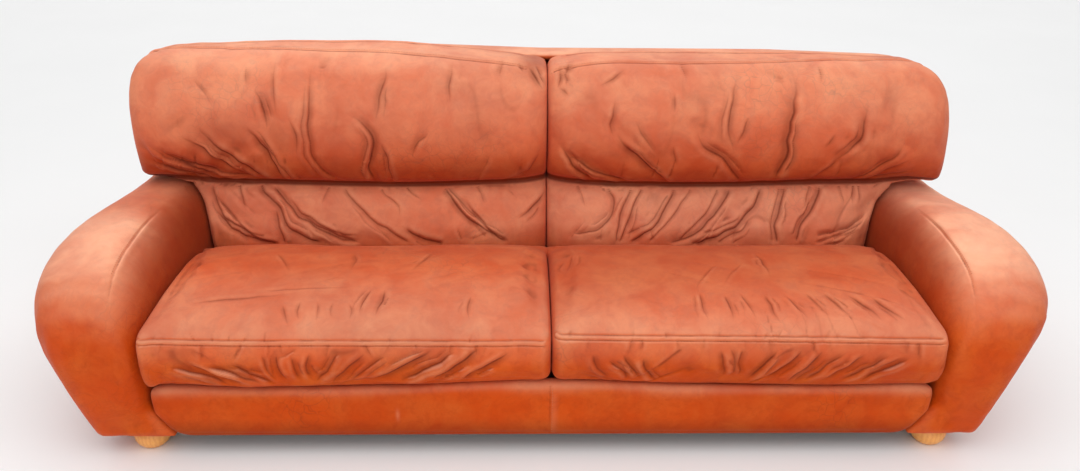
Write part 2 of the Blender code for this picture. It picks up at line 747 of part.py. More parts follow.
def build_feet(side, sign, bottom_rail, parts, cutters):
    """Two turned feet under an arm, each on a threaded bolt that enters the arm's bottom rail."""
    tip = 0.42 * UNDERSIDE
    head = UNDERSIDE + POST - 0.005
    for end, depth in FOOT_DEPTHS.items():
        name = f"{end}_{side}_foot"
        place = (sign * FOOT_X, world_y(depth), 0.0)
        foot = turned(name, foot_profile(8), 24, timber(name), parts)
        foot.location = place
        start = Vector(place) + Vector((0, 0, tip))
        stop = Vector(place) + Vector((0, 0, head))
        cylinder(name + "_bolt", start, stop, BOLT_RADIUS, steel(name + "_bolt"), parts)
        slack = Vector((0, 0, GAP))
        bore = cylinder(
            name + "_bore", start - slack, stop + slack, BOLT_RADIUS + GAP, steel(name + "_bore"), cutters
        )
        as_cutter(bore)
        cut(foot, bore)
        cut(bottom_rail, bore)


def build_arm_bolts(side, sign, arm, bottom_rail, side_rail, parts, cutters):
    """Two bolts that hold an arm to the side rail of the seat frame."""
    inside = SIDE_RAIL_OUTER - BOARD - GAP
    tip = ARM_FRAME[1] - 0.010
    length = tip - inside + HEAD_THICKNESS
    for end, depth in ARM_BOLT_DEPTHS.items():
        name = f"{side}_arm_{end}_bolt"
        bolt = turned(name, bolt_profile(length), 12, steel(name), parts)
        bolt.location = (sign * tip, world_y(depth), ARM_BOLT_LEVEL)
        bolt.rotation_euler = (0.0, -sign * math.pi / 2, 0.0)
        start = (sign * (inside - 0.001), world_y(depth), ARM_BOLT_LEVEL)
        stop = (sign * (tip + GAP), world_y(depth), ARM_BOLT_LEVEL)
        bore = cylinder(name + "_bore", start, stop, BOLT_RADIUS + GAP, steel(name + "_bore"), cutters)
        as_cutter(bore)
        cut(arm, bore, "MANIFOLD")
        cut(bottom_rail, bore)
        cut(side_rail, bore)


def clear_scene():
    for obj in list(bpy.data.objects):
        bpy.data.objects.remove(obj, do_unlink=True)


def new_collection(name):
    collection = bpy.data.collections.new(name)
    bpy.context.scene.collection.children.link(collection)
    return collection


def build():
    clear_scene()
    parts = new_collection("leather_sofa")
    cutters = new_collection("cutters")
    base = build_base(parts)
    build_seat_webbing(parts)
    build_back_frame(parts)
    build_front_rail_cover(parts)
    build_back_cover(parts, cutters)
    for side, sign in (("left", -1), ("right", 1)):
        inner = sign * DIVIDE + 0.0006
        arm = build_arm(side, sign, parts, cutters)
        bottom_rail = build_arm_frame(side, sign, parts)
        build_feet(side, sign, bottom_rail, parts, cutters)
        build_arm_bolts(side, sign, arm, bottom_rail, base[f"base_{side}_rail"], parts, cutters)
        build_seat_cushion(side, sign, inner, parts)
        build_back_cushion(side, sign, inner, ROLL_RISE[side], BACK_FOLDS[side], parts)


build()
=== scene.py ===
"""Dresses the worn leather sofa: filled cushions, padded arms and back, seams, stitching and aged leather."""

import itertools
import json
import math
import random

import bmesh
import bpy
import numpy as np
from mathutils import Matrix, Vector
from mathutils.bvhtree import BVHTree
from mathutils.kdtree import KDTree


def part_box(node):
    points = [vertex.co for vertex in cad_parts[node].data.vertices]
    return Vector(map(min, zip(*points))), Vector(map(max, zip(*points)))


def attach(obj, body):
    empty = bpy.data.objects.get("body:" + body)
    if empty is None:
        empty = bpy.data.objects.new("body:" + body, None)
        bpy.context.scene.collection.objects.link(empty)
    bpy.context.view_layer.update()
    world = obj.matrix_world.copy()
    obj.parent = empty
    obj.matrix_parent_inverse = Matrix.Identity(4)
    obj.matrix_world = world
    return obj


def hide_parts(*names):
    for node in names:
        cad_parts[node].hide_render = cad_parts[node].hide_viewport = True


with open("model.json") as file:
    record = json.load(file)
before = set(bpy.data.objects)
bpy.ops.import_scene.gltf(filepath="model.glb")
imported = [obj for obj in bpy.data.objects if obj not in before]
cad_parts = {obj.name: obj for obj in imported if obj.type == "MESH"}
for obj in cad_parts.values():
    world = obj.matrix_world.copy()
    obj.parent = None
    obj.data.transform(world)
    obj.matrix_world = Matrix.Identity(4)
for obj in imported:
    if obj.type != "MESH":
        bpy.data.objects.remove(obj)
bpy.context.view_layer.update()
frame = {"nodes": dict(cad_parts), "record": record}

FRONT_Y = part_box("front_rail_cover")[0].y - 0.030  # the sofa's front plane: depths are measured back from it
STEP = 0.003  # between the points of a seam or a fold

# Folds in a cushion: how deep, then the points that it runs through
ROLL_FOLDS = {
    "left": (
        (0.9, (-0.890, 0.605), (-0.845, 0.570), (-0.805, 0.530), (-0.755, 0.490)),
        (0.9, (-0.850, 0.630), (-0.805, 0.575), (-0.755, 0.530), (-0.710, 0.487)),
        (1.1, (-0.725, 0.635), (-0.695, 0.585), (-0.670, 0.530), (-0.655, 0.485)),
        (0.5, (-0.710, 0.615), (-0.665, 0.545), (-0.635, 0.490)),
        (0.8, (-0.695, 0.715), (-0.675, 0.675), (-0.670, 0.630), (-0.675, 0.595)),
        (0.3, (-0.715, 0.760), (-0.710, 0.715)),
        (0.3, (-0.645, 0.775), (-0.650, 0.715), (-0.645, 0.635)),
        (0.5, (-0.615, 0.650), (-0.600, 0.590), (-0.605, 0.530)),
        (0.7, (-0.555, 0.770), (-0.560, 0.715), (-0.570, 0.577), (-0.560, 0.520), (-0.525, 0.483)),
        (0.6, (-0.380, 0.765), (-0.380, 0.735), (-0.395, 0.690), (-0.405, 0.620)),
        (1.0, (-0.480, 0.660), (-0.440, 0.635), (-0.415, 0.585), (-0.430, 0.510), (-0.425, 0.475)),
        (0.6, (-0.395, 0.585), (-0.383, 0.530), (-0.380, 0.475)),
        (0.5, (-0.220, 0.765), (-0.225, 0.715), (-0.225, 0.670)),
        (0.5, (-0.275, 0.615), (-0.310, 0.570), (-0.330, 0.525)),
        (1.1, (-0.990, 0.560), (-0.950, 0.520), (-0.900, 0.497), (-0.845, 0.484)),
        (1.1, (-0.990, 0.535), (-0.945, 0.500), (-0.880, 0.478)),
        (0.8, (-0.985, 0.510), (-0.935, 0.483), (-0.880, 0.473)),
        (0.9, (-0.955, 0.570), (-0.900, 0.520), (-0.850, 0.492)),
        (0.8, (-0.985, 0.590), (-0.945, 0.550), (-0.905, 0.520), (-0.800, 0.490)),
        (0.5, (0.000, 0.560), (-0.035, 0.495), (-0.085, 0.470)),
        (0.3, (-0.120, 0.560), (-0.150, 0.495)),
        (0.4, (-0.095, 0.762), (-0.105, 0.728)),
        (0.9, (-0.050, 0.765), (-0.025, 0.738), (-0.005, 0.710), (0.006, 0.690)),
        (0.9, (-0.020, 0.763), (-0.010, 0.738), (0.004, 0.722)),
        (0.5, (-0.065, 0.765), (-0.045, 0.735)),
        (0.3, (-0.845, 0.735), (-0.810, 0.695), (-0.800, 0.670)),
    ),
    "right": (
        (0.9, (0.035, 0.578), (0.065, 0.535), (0.080, 0.505), (0.110, 0.480)),
        (0.9, (0.040, 0.565), (0.098, 0.522), (0.140, 0.495), (0.177, 0.480)),
        (0.4, (0.080, 0.537), (0.127, 0.500)),
        (0.9, (0.172, 0.612), (0.206, 0.573), (0.255, 0.525), (0.305, 0.483)),
        (0.5, (0.178, 0.695), (0.168, 0.625), (0.182, 0.585)),
        (0.4, (0.222, 0.645), (0.255, 0.590), (0.293, 0.530)),
        (0.4, (0.320, 0.705), (0.320, 0.650)),
        (0.4, (0.322, 0.580), (0.340, 0.510)),
        (0.7, (0.372, 0.620), (0.398, 0.573), (0.438, 0.545), (0.471, 0.515), (0.500, 0.480)),
        (0.6, (0.481, 0.750), (0.470, 0.720), (0.456, 0.625), (0.473, 0.573), (0.484, 0.530)),
        (0.5, (0.506, 0.655), (0.492, 0.610), (0.478, 0.568)),
        (1.1, (0.608, 0.757), (0.617, 0.707), (0.612, 0.650), (0.608, 0.593), (0.611, 0.535), (0.597, 0.478)),
        (0.8, (0.797, 0.688), (0.791, 0.633), (0.783, 0.585), (0.745, 0.545), (0.704, 0.503)),
        (0.5, (0.758, 0.543), (0.720, 0.510), (0.694, 0.478)),
        (0.6, (0.903, 0.585), (0.870, 0.527), (0.820, 0.480)),
        (0.5, (0.928, 0.537), (0.874, 0.493), (0.837, 0.468)),
        (0.6, (0.961, 0.497), (0.895, 0.476), (0.841, 0.468)),
        (0.5, (0.050, 0.743), (0.066, 0.717)),
        (0.7, (0.056, 0.766), (0.066, 0.752), (0.056, 0.730)),
        (0.7, (0.040, 0.755), (0.045, 0.728), (0.036, 0.697)),
        (0.4, (0.066, 0.690), (0.036, 0.707)),
        (0.5, (0.207, 0.750), (0.166, 0.730), (0.131, 0.712)),
        (0.3, (0.338, 0.760), (0.351, 0.728)),
        (0.3, (0.683, 0.757), (0.679, 0.722)),
        (0.3, (0.720, 0.610), (0.695, 0.565)),
    ),
}
LUMBAR_FOLDS = {
    "left": (
        (1.0, (-0.685, 0.446), (-0.645, 0.410), (-0.605, 0.370), (-0.530, 0.330), (-0.460, 0.313)),
        (0.8, (-0.705, 0.435), (-0.670, 0.405), (-0.645, 0.360), (-0.610, 0.335), (-0.575, 0.320)),
        (0.7, (-0.675, 0.400), (-0.665, 0.355), (-0.655, 0.320)),
        (0.9, (-0.845, 0.390), (-0.800, 0.352), (-0.745, 0.328), (-0.685, 0.316)),
        (0.6, (-0.830, 0.410), (-0.820, 0.380), (-0.775, 0.355), (-0.720, 0.330)),
        (0.5, (-0.770, 0.445), (-0.760, 0.415), (-0.750, 0.385)),
        (0.4, (-0.715, 0.445), (-0.690, 0.415)),
        (0.6, (-0.615, 0.380), (-0.575, 0.360), (-0.510, 0.330)),
        (0.6, (-0.462, 0.405), (-0.428, 0.372), (-0.385, 0.345)),
        (0.4, (-0.400, 0.435), (-0.365, 0.400), (-0.365, 0.360)),
        (0.9, (-0.350, 0.355), (-0.315, 0.330), (-0.260, 0.315)),
        (0.4, (-0.330, 0.435), (-0.295, 0.410)),
        (0.9, (-0.240, 0.435), (-0.205, 0.390), (-0.150, 0.350), (-0.105, 0.325)),
        (0.6, (-0.215, 0.420), (-0.180, 0.385), (-0.140, 0.355)),
        (0.7, (0.000, 0.415), (-0.035, 0.388), (-0.070, 0.364)),
        (0.3, (-0.155, 0.430), (-0.135, 0.400)),
        (0.3, (-0.185, 0.320), (-0.135, 0.340)),
        (0.3, (-0.550, 0.430), (-0.560, 0.400)),
    ),
    "right": (
        (0.7, (0.170, 0.446), (0.185, 0.415), (0.175, 0.375), (0.135, 0.345), (0.075, 0.337)),
        (0.3, (0.100, 0.430), (0.115, 0.390)),
        (0.7, (0.230, 0.445), (0.205, 0.385), (0.195, 0.330)),
        (0.7, (0.260, 0.446), (0.240, 0.410), (0.225, 0.370), (0.207, 0.330)),
        (0.9, (0.343, 0.446), (0.313, 0.390), (0.283, 0.353), (0.240, 0.323)),
        (0.5, (0.385, 0.446), (0.350, 0.400), (0.317, 0.357), (0.290, 0.330)),
        (0.8, (0.463, 0.415), (0.430, 0.370), (0.385, 0.335), (0.350, 0.322)),
        (0.5, (0.455, 0.446), (0.420, 0.390), (0.380, 0.345)),
        (1.0, (0.568, 0.446), (0.540, 0.400), (0.490, 0.353), (0.445, 0.327), (0.395, 0.315)),
        (0.6, (0.540, 0.385), (0.507, 0.346), (0.472, 0.325)),
        (0.8, (0.628, 0.446), (0.614, 0.400), (0.600, 0.360), (0.605, 0.330)),
        (0.4, (0.610, 0.430), (0.593, 0.373), (0.594, 0.335)),
        (0.9, (0.717, 0.440), (0.695, 0.392), (0.665, 0.353), (0.660, 0.330)),
        (0.4, (0.690, 0.437), (0.670, 0.390)),
        (0.9, (0.852, 0.385), (0.800, 0.350), (0.738, 0.335), (0.704, 0.330)),
        (0.7, (0.843, 0.370), (0.790, 0.337), (0.730, 0.320)),
        (0.5, (0.806, 0.438), (0.803, 0.397)),
        (0.4, (0.820, 0.437), (0.820, 0.399)),
        (0.3, (0.773, 0.437), (0.782, 0.395)),
    ),
}

# Creases in the seats, in groups: how many and how deep, then from where to where their upper ends stand, and
# their lower ends, as shares of the seat's width, and the depths (on top) or levels (on the front) that they
# run between
TOP_CREASES = {
    "left": (
        (2, 1.0, (0.53, 0.61), (0.51, 0.58), (0.160, 0.030)),
        (5, 0.5, (0.32, 0.52), (0.35, 0.52), (0.115, 0.030)),
        (1, 0.7, (0.79, 0.81), (0.79, 0.81), (0.135, 0.030)),
        (1, 0.5, (0.08, 0.10), (0.40, 0.42), (0.090, 0.140)),
        (1, 0.4, (0.24, 0.26), (0.52, 0.54), (0.140, 0.165)),
        (3, 0.4, (0.16, 0.80), (0.26, 0.72), (0.350, 0.210)),
    ),
    "right": (
        (1, 0.9, (0.57, 0.59), (0.58, 0.60), (0.360, 0.180)),
        (9, 0.8, (0.36, 0.84), (0.36, 0.93), (0.145, 0.030)),
        (2, 0.4, (0.44, 0.56), (0.32, 0.46), (0.300, 0.110)),
        (3, 0.4, (0.03, 0.11), (0.02, 0.07), (0.330, 0.220)),
    ),
}
FRONT_CREASES = {
    "left": (
        (4, 0.8, (0.05, 0.24), (0.20, 0.36), (0.270, 0.200)),
        (4, 0.6, (0.28, 0.44), (0.33, 0.43), (0.300, 0.210)),
        (3, 0.8, (0.47, 0.64), (0.41, 0.52), (0.305, 0.195)),
        (4, 0.9, (0.68, 0.93), (0.52, 0.80), (0.305, 0.200)),
    ),
    "right": (
        (4, 0.7, (0.08, 0.24), (0.13, 0.29), (0.290, 0.200)),
        (3, 0.6, (0.40, 0.50), (0.42, 0.49), (0.305, 0.210)),
        (7, 0.8, (0.54, 0.93), (0.47, 0.80), (0.300, 0.195)),
    ),
}

# Seams: the level of the seats' double seam at its two ends, and the rolls' top seam as points, each out from
# the middle of the sofa and back from its front
SEAT_SEAM = {"left": (0.312, 0.308), "right": (0.320, 0.312)}
ROLL_SEAM = ((0.94, 0.64), (0.48, 0.60), (0.03, 0.59))
# The arms' seam: how far out it runs, its straight stretch by depth and level, and its quarter turn in front
ARM_SEAM_X = 0.915
ARM_SEAM_RUN = ((0.42, 0.445), (0.30, 0.458))
ARM_TURN_DEPTH, ARM_TURN_REACH = 0.19, 0.16
ARM_TURN_LEVEL, ARM_TURN_RISE = 0.345, 0.11
CREASE_LEVEL = 0.456  # of the crease between a back cushion's roll and its lumbar part

LEATHER_TONE = (0.640, 0.070, 0.0)
DEEP_TONE = (0.450, 0.040, 0.0)
LIGHT_TONE = (0.700, 0.145, 0.020)
# Painted shade: the dark brown that folds, hollows and recesses are darkened to; also the crazing lines'
# colour
SHADE_AND_CRACK_TONE = (0.130, 0.015, 0.004)
# Pale worn leather, also used for painted highlights
WORN_AND_HIGHLIGHT_TONE = (0.800, 0.350, 0.190)
SHEEN_TINT = (1.0, 1.0, 0.74)  # painted sheen, added where faces turn up towards the light


# Mesh work


def alone(obj):
    """Make obj the only selected object, and the active one."""
    bpy.ops.object.select_all(action="DESELECT")
    obj.select_set(True)
    bpy.context.view_layer.objects.active = obj


def points_of(mesh):
    flat = np.empty(len(mesh.vertices) * 3, np.float32)
    mesh.vertices.foreach_get("co", flat)
    return flat.reshape(-1, 3).astype(float)


def put_points(mesh, points):
    mesh.vertices.foreach_set("co", points.astype(np.float32).ravel())
    mesh.update()


def normals_of(mesh):
    flat = np.empty(len(mesh.vertices) * 3, np.float32)
    mesh.vertex_normals.foreach_get("vector", flat)
    return flat.reshape(-1, 3).astype(float)


def edges_of(mesh):
    flat = np.empty(len(mesh.edges) * 2, np.int32)
    mesh.edges.foreach_get("vertices", flat)
    return flat.reshape(-1, 2)


def around(values, edges, count):
    """The mean of each point's neighbours."""
    ends = np.concatenate([edges[:, 0], edges[:, 1]])
    others = np.concatenate([edges[:, 1], edges[:, 0]])
    degree = np.maximum(np.bincount(ends, minlength=count), 1)
    sums = [np.bincount(ends, values[others, axis], count) for axis in range(values.shape[1])]
    return np.stack(sums, 1) / degree[:, None]


def even_out(mesh, rounds):
    """Smooth away facets without shrinking: a step in, then a slightly longer step out."""
    points = points_of(mesh)
    edges = edges_of(mesh)
    for _ in range(rounds):
        for share in (0.50, -0.53):
            points += share * (around(points, edges, len(points)) - points)
    put_points(mesh, points)


def soft_copy(node, name, voxel, rounds):
    """An evenly meshed, smooth copy of a CAD solid."""
    source = frame["nodes"][node]
    obj = bpy.data.objects.new(name, source.data.copy())
    obj.data.name = name
    obj.data.materials.clear()
    bpy.context.scene.collection.objects.link(obj)
    bm = bmesh.new()
    bm.from_mesh(obj.data)
    bmesh.ops.remove_doubles(bm, verts=bm.verts, dist=0.00005)
    bm.to_mesh(obj.data)
    bm.free()
    alone(obj)
    remesh = obj.modifiers.new("even_mesh", "REMESH")
    remesh.mode = "VOXEL"
    remesh.voxel_size = voxel
    remesh.use_smooth_shade = True
    bpy.ops.object.modifier_apply(modifier="even_mesh")
    even_out(obj.data, rounds)
    return obj


def refine(obj):
    alone(obj)
    finer = obj.modifiers.new("finer", "SUBSURF")
    finer.levels = 1
    finer.render_levels = 1
    bpy.ops.object.modifier_apply(modifier="finer")


def filled(obj, pressure, cap, slack, held):
    """Swell a cover from inside, its seams held, and let no point move further than cap."""
    mesh = obj.data
    rest = points_of(mesh)
    start = rest - normals_of(mesh) * 0.003
    put_points(mesh, start)
    group = obj.vertex_groups.new(name="held")
    group.add([int(i) for i in np.nonzero(held(rest))[0]], 1.0, "REPLACE")
    cloth = obj.modifiers.new("filling", "CLOTH")
    settings = cloth.settings
    settings.quality = 4
    settings.mass = 0.25
    settings.tension_stiffness = 20
    settings.compression_stiffness = 20
    settings.shear_stiffness = 8
    settings.bending_stiffness = 0.6
    settings.use_pressure = True
    settings.uniform_pressure_force = pressure
    settings.shrink_min = -slack
    settings.effector_weights.gravity = 0
    settings.vertex_group_mass = "held"
    scene = bpy.context.scene
    for number in range(1, 21):
        scene.frame_set(number)
    result = obj.evaluated_get(bpy.context.evaluated_depsgraph_get())
    swollen = points_of(result.data)
    scene.frame_set(1)
    obj.modifiers.remove(cloth)
    obj.vertex_groups.remove(group)
    moved = swollen - rest
    put_points(mesh, rest)
    edges = edges_of(mesh)
    for _ in range(10):
        moved = 0.5 * (moved + around(moved, edges, len(moved)))
    # The sides lie against their neighbours
    moved *= 1 - 0.9 * ease((np.abs(normals_of(mesh)[:, :1]) - 0.25) / 0.4)
    x = rest[:, :1]
    moved *= ease(np.minimum(x - x.min(), x.max() - x) / 0.06)
    length = np.maximum(np.linalg.norm(moved, axis=1), 1e-9)
    put_points(mesh, rest + moved * np.minimum(1.0, cap / length)[:, None])


def curve_through(points):
    """Evenly spaced points on a smooth curve through the given ones."""
    points = np.array(points, float)
    if len(points) == 2:
        points = np.array([points[0], points.mean(0), points[1]])
    tangents = np.gradient(points, axis=0)
    made = []
    for i in range(len(points) - 1):
        count = max(2, int(np.linalg.norm(points[i + 1] - points[i]) / STEP))
        for k in range(count):
            t = k / count
            made.append(
                points[i] * (1 + 2 * t) * (1 - t) ** 2
                + points[i + 1] * t * t * (3 - 2 * t)
                + tangents[i] * t * (1 - t) ** 2
                + tangents[i + 1] * t * t * (t - 1)
            )
    made.append(points[-1])
    return np.array(made)


def reaching(listed, low, high, margin):
    """The listed folds, with those that stop within margin of the low or the high level drawn on to it."""
    made = []
    for strength, *points in listed:
        points = [np.array(point) for point in points]
        rise = points[0] - points[1]
        if high - margin < points[0][1] < high and rise[1] > 0.01:
            points[0] = points[0] + rise * (high - points[0][1]) / rise[1]
        drop = points[-1] - points[-2]
        if low < points[-1][1] < low + margin and drop[1] < -0.01:
            points[-1] = points[-1] + drop * (low - points[-1][1]) / drop[1]
        made.append((strength, *points))
    return made


def fanned(groups, low, high, seed):
    """The creases of every group, side by side between low and high, no two quite alike."""
    draws = random.Random(seed)
    made = []
    for count, strength, heads, feet, (start, end) in groups:
        for number in range(count):
            share = (number + 0.5) / count
            head, foot = (
                low + (high - low) * (first + (last - first) * share + draws.uniform(-0.008, 0.008))
                for first, last in (heads, feet)
            )
            begin = start + (end - start) * draws.uniform(0.0, 0.18)
            stop = end - (end - start) * draws.uniform(0.0, 0.15)
            middle = ((head + foot) / 2 + draws.uniform(-0.010, 0.010), (begin + stop) / 2)
            made.append((strength * draws.uniform(0.75, 1.1), (head, begin), middle, (foot, stop)))
    return made


def arm_seam(sign):
    """Along the arm's inner edge, then down its front in a quarter turn."""
    line = list(ARM_SEAM_RUN)
    for angle in (0, 22.5, 45, 67.5, 90):
        turn = math.radians(angle)
        depth = ARM_TURN_DEPTH - ARM_TURN_REACH * math.sin(turn)
        line.append((depth, ARM_TURN_LEVEL + ARM_TURN_RISE * math.cos(turn)))
    return [(sign * ARM_SEAM_X, FRONT_Y + depth, level) for depth, level in line]


def ease(share):
    share = np.clip(share, 0.0, 1.0)
    return share * share * (3 - 2 * share)


def span(values, low, high, soft):
    """1 between low and high, fading to 0 over soft outside them."""
    return ease((values - low) / soft + 1) * ease((high - values) / soft + 1)


def noise_at(places, seed):
    """Smooth noise between -1 and 1, with one cell to each unit of distance."""
    table = np.random.RandomState(seed).uniform(-1, 1, 4096)
    cell = np.floor(places).astype(np.int64)
    share = ease(places - cell)
    total = np.zeros(len(places))
    for corner in itertools.product((0, 1), repeat=3):
        key = (cell + corner) * (73856093, 19349663, 83492791)
        key = (key[:, 0] ^ key[:, 1] ^ key[:, 2]) & 4095
        total += np.where(corner, share, 1 - share).prod(1) * table[key]
    return total


def fold_section(side):
    """A fold's section: it falls slowly, turns at 0, climbs steeply and rolls over a rounded lip."""
    groove = np.exp(-np.where(side < 0, (side / 0.5) ** 2, (side / 1.7) ** 2))
    lip = np.exp(-(((side + 1.5) / 1.0) ** 2))
    return 0.50 * lip - groove


def fold_shade(side):
    """How much painted shade a fold gets across its section."""
    return np.maximum(np.exp(-((side / 0.36) ** 2)), 0.44 * np.exp(-(((side - 0.4) / 1.1) ** 2)))


class Cover:
    """A leather cover while its seams and folds are worked in."""

    def __init__(self, obj, seed):
        self.obj = obj
        self.random = random.Random(seed)
        self.points = points_of(obj.data)
        self.settle()
        self.clear()

    def clear(self):
        self.shade_and_seam_lines = np.zeros(len(self.points))
        self.wear_and_highlight = np.zeros(len(self.points))
        self.fade = np.zeros(len(self.points))

    def settle(self):
        """Store the shape, and read its normals and its surface again."""
        put_points(self.obj.data, self.points)
        self.normals = normals_of(self.obj.data)
        bpy.context.view_layer.update()
        self.tree = BVHTree.FromObject(self.obj, bpy.context.evaluated_depsgraph_get())

    def shift(self, amounts):
        """Move the points along their normals."""
        self.points += self.normals * amounts[:, None]

    def depths(self):
        return self.points[:, 1] - FRONT_Y

    def facing(self, x, y, z):
        """1 where the cover faces the given way, 0 where it is side-on to it."""
        way = np.array((x, y, z)) / math.sqrt(x * x + y * y + z * z)
        return ease((self.normals @ way - 0.25) / 0.5)

    def square_off(self, corner, way, radius, share):
        """Draw a corner that is rounded in plan, with its two sides going ways, out towards a square one."""
        out = (self.points[:, :2] - corner + np.array(way) * radius) * way
        inside = (out > 0).all(1)
        length = np.linalg.norm(out, axis=1)
        grow = 1 + share * (length / np.maximum(out.max(1), 1e-6) - 1)
        self.points[:, :2] += np.where(inside[:, None], out * (grow - 1)[:, None] * way, 0.0)

    def split_near(self, paths, reach):
        """Give the cover a finer mesh beside the paths."""
        places = np.concatenate(paths)
        tree = KDTree(len(places))
        for number, place in enumerate(places):
            tree.insert(place, number)
        tree.balance()
        near = [tree.find(place)[2] < reach for place in self.points]
        mesh = self.obj.data
        mesh.polygons.foreach_set("select", np.zeros(len(mesh.polygons), bool))
        mesh.edges.foreach_set("select", np.zeros(len(mesh.edges), bool))
        mesh.vertices.foreach_set("select", near)
        alone(self.obj)
        bpy.context.tool_settings.mesh_select_mode = (True, False, False)
        bpy.ops.object.mode_set(mode="EDIT")
        bpy.ops.mesh.subdivide(number_cuts=1)
        bpy.ops.object.mode_set(mode="OBJECT")
        self.points = points_of(mesh)
        self.normals = normals_of(mesh)
        self.clear()

    def dropped(self, flat, direction):
        """The places where flat points, carried along direction, first meet the cover."""
        met = []
        for place in flat:
            start = Vector(place) - Vector(direction) * 3.0
            hit = self.tree.ray_cast(start, Vector(direction))[0]
            if hit is not None:
                met.append(hit)
        return np.array(met)

    def from_front(self, points):
        curve = curve_through(points)
        return self.dropped([(x, 0.0, z) for x, z in curve], (0, 1, 0))

    def from_above(self, points):
        curve = curve_through([(x, FRONT_Y + depth) for x, depth in points])
        return self.dropped([(x, y, 0.5) for x, y in curve], (0, 0, -1))

    def snapped(self, points):
        """The nearest places on the cover to the points of a curve in space."""
        return np.array([self.tree.find_nearest(Vector(place))[0] for place in curve_through(points)])

    def traced(self, listed, place):
        """The strength and the slightly wandering path of every listed fold."""
        made = []
        for strength, *points in listed:
            path = place(points)
            if len(path) > 3:
                path = self.wander(path, 0.003)
                made.append((strength, path))
                if strength > 0.55 and len(path) > 12:
                    made.append((0.45 * strength, self.beside(path)))
        return made

    def beside(self, path):
        """A shorter, shallower fold that runs along with a deep one."""
        count = len(path)
        first = int(count * self.random.uniform(0.05, 0.35))
        last = int(count * self.random.uniform(0.70, 1.0))
        part = path[first:last]
        across = np.cross(np.gradient(part, axis=0), (0.0, -1.0, 0.3))
        across /= np.maximum(np.linalg.norm(across, axis=1), 1e-9)[:, None]
        away = self.random.choice((-1, 1)) * np.linspace(0.011, self.random.uniform(0.014, 0.024), len(part))
        return self.wander(part + across * away[:, None], 0.002)

    def wander(self, path, amount):
        """A path that strays a little, as a fold in soft leather does."""
        count = max(3, int(len(path) * STEP / 0.025) + 2)
        knots = [self.random.uniform(-amount, amount) for _ in range(count)]
        knots[0] = knots[-1] = 0.0
        stray = np.interp(np.linspace(0, count - 1, len(path)), range(count), knots)
        along = np.gradient(path, axis=0)
        across = np.cross(along, (0.0, -1.0, 0.3))
        across /= np.maximum(np.linalg.norm(across, axis=1), 1e-9)[:, None]
        return path + across * stray[:, None]

    def near(self, path, reach):
        """The points near a path, each with its share of the way along it and its distance to the left."""
        low, high = path.min(0) - reach, path.max(0) + reach
        near = np.nonzero(((self.points > low) & (self.points < high)).all(1))[0]
        if len(near) == 0 or len(path) < 3:
            return None
        nearest = np.empty(len(near), int)
        for first in range(0, len(near), 4000):
            part = self.points[near[first : first + 4000]]
            nearest[first : first + 4000] = ((part[:, None, :] - path[None]) ** 2).sum(2).argmin(1)
        gap = self.points[near] - path[nearest]
        rise = (gap * self.normals[near]).sum(1)
        distance = np.linalg.norm(gap - self.normals[near] * rise[:, None], axis=1)
        close = (distance < reach) & (np.abs(rise) < reach)
        near, nearest, distance, gap = near[close], nearest[close], distance[close], gap[close]
        along = np.gradient(path, axis=0)
        left = np.cross(self.normals[near], along[nearest])
        side = np.where((gap * left).sum(1) < 0, -distance, distance)
        return near, nearest / (len(path) - 1), side

    def press(self, path, width, depth, first=0.3, last=0.3, dark=1.0):
        """Press a fold in along a path; it fades over the first and the last share of its length."""
        found = self.near(path, width * 4.5)
        if found is None:
            return
        near, share, side = found
        taper = ease(share / first) * ease((1 - share) / last)
        side = side * self.random.choice((-1, 1)) / width
        self.points[near] += self.normals[near] * (depth * taper * fold_section(side))[:, None]
        # Painted shade along the fold
        self.shade_and_seam_lines[near] = np.maximum(self.shade_and_seam_lines[near], dark * taper * fold_shade(side))
        # Painted highlight on the fold's rounded lip, stored with the wear
        lip = 0.22 * dark * taper * np.exp(-(((side + 1.5) / 0.8) ** 2))
        self.wear_and_highlight[near] = np.maximum(self.wear_and_highlight[near], lip)

    def folds(self, traced, width, depth, first, last, floor=9.0, ceiling=9.0):
        """Press folds in: one that ends above floor dies out slowly, one from above ceiling starts deep."""
        for strength, path in traced:
            spread = self.random.uniform(0.8, 1.2) * (0.55 + 0.45 * min(strength, 1.0))
            ending = last if path[-1][2] < floor else 0.55
            start = first if path[0][2] < ceiling else 0.06
            dark = min(1.0, 0.40 + 0.75 * strength)
            self.press(path, width * spread, depth * strength, start, ending, dark)

    def wrinkles(self, zone, heading, across, along, depth, seed, dark=0.5, face=(0, -1, 0)):
        """Soft creases that run along heading, strongest where zone is 1."""
        heading = np.array(heading) / np.linalg.norm(heading)
        sideways = np.cross(heading, face)
        sideways /= np.linalg.norm(sideways)
        outward = np.cross(heading, sideways)
        places = np.stack([self.points @ heading, self.points @ sideways, self.points @ outward], 1)
        bend = noise_at(places / (along, along, along), seed + 1)
        places[:, 1] += 0.5 * across * bend
        side = noise_at(places / (along, across, across * 2), seed) / 0.16
        strength = zone * ease((noise_at(self.points / 0.13, seed + 2) + 0.25) / 0.6)
        self.shift(depth * strength * fold_section(side))
        # Painted shade along the creases
        self.shade_and_seam_lines = np.maximum(self.shade_and_seam_lines, dark * strength * fold_shade(side))

    def sway(self, size, amount, seed, zone=1.0):
        """Let the cover swell and sink softly."""
        self.shift(amount * zone * noise_at(self.points / size, seed))

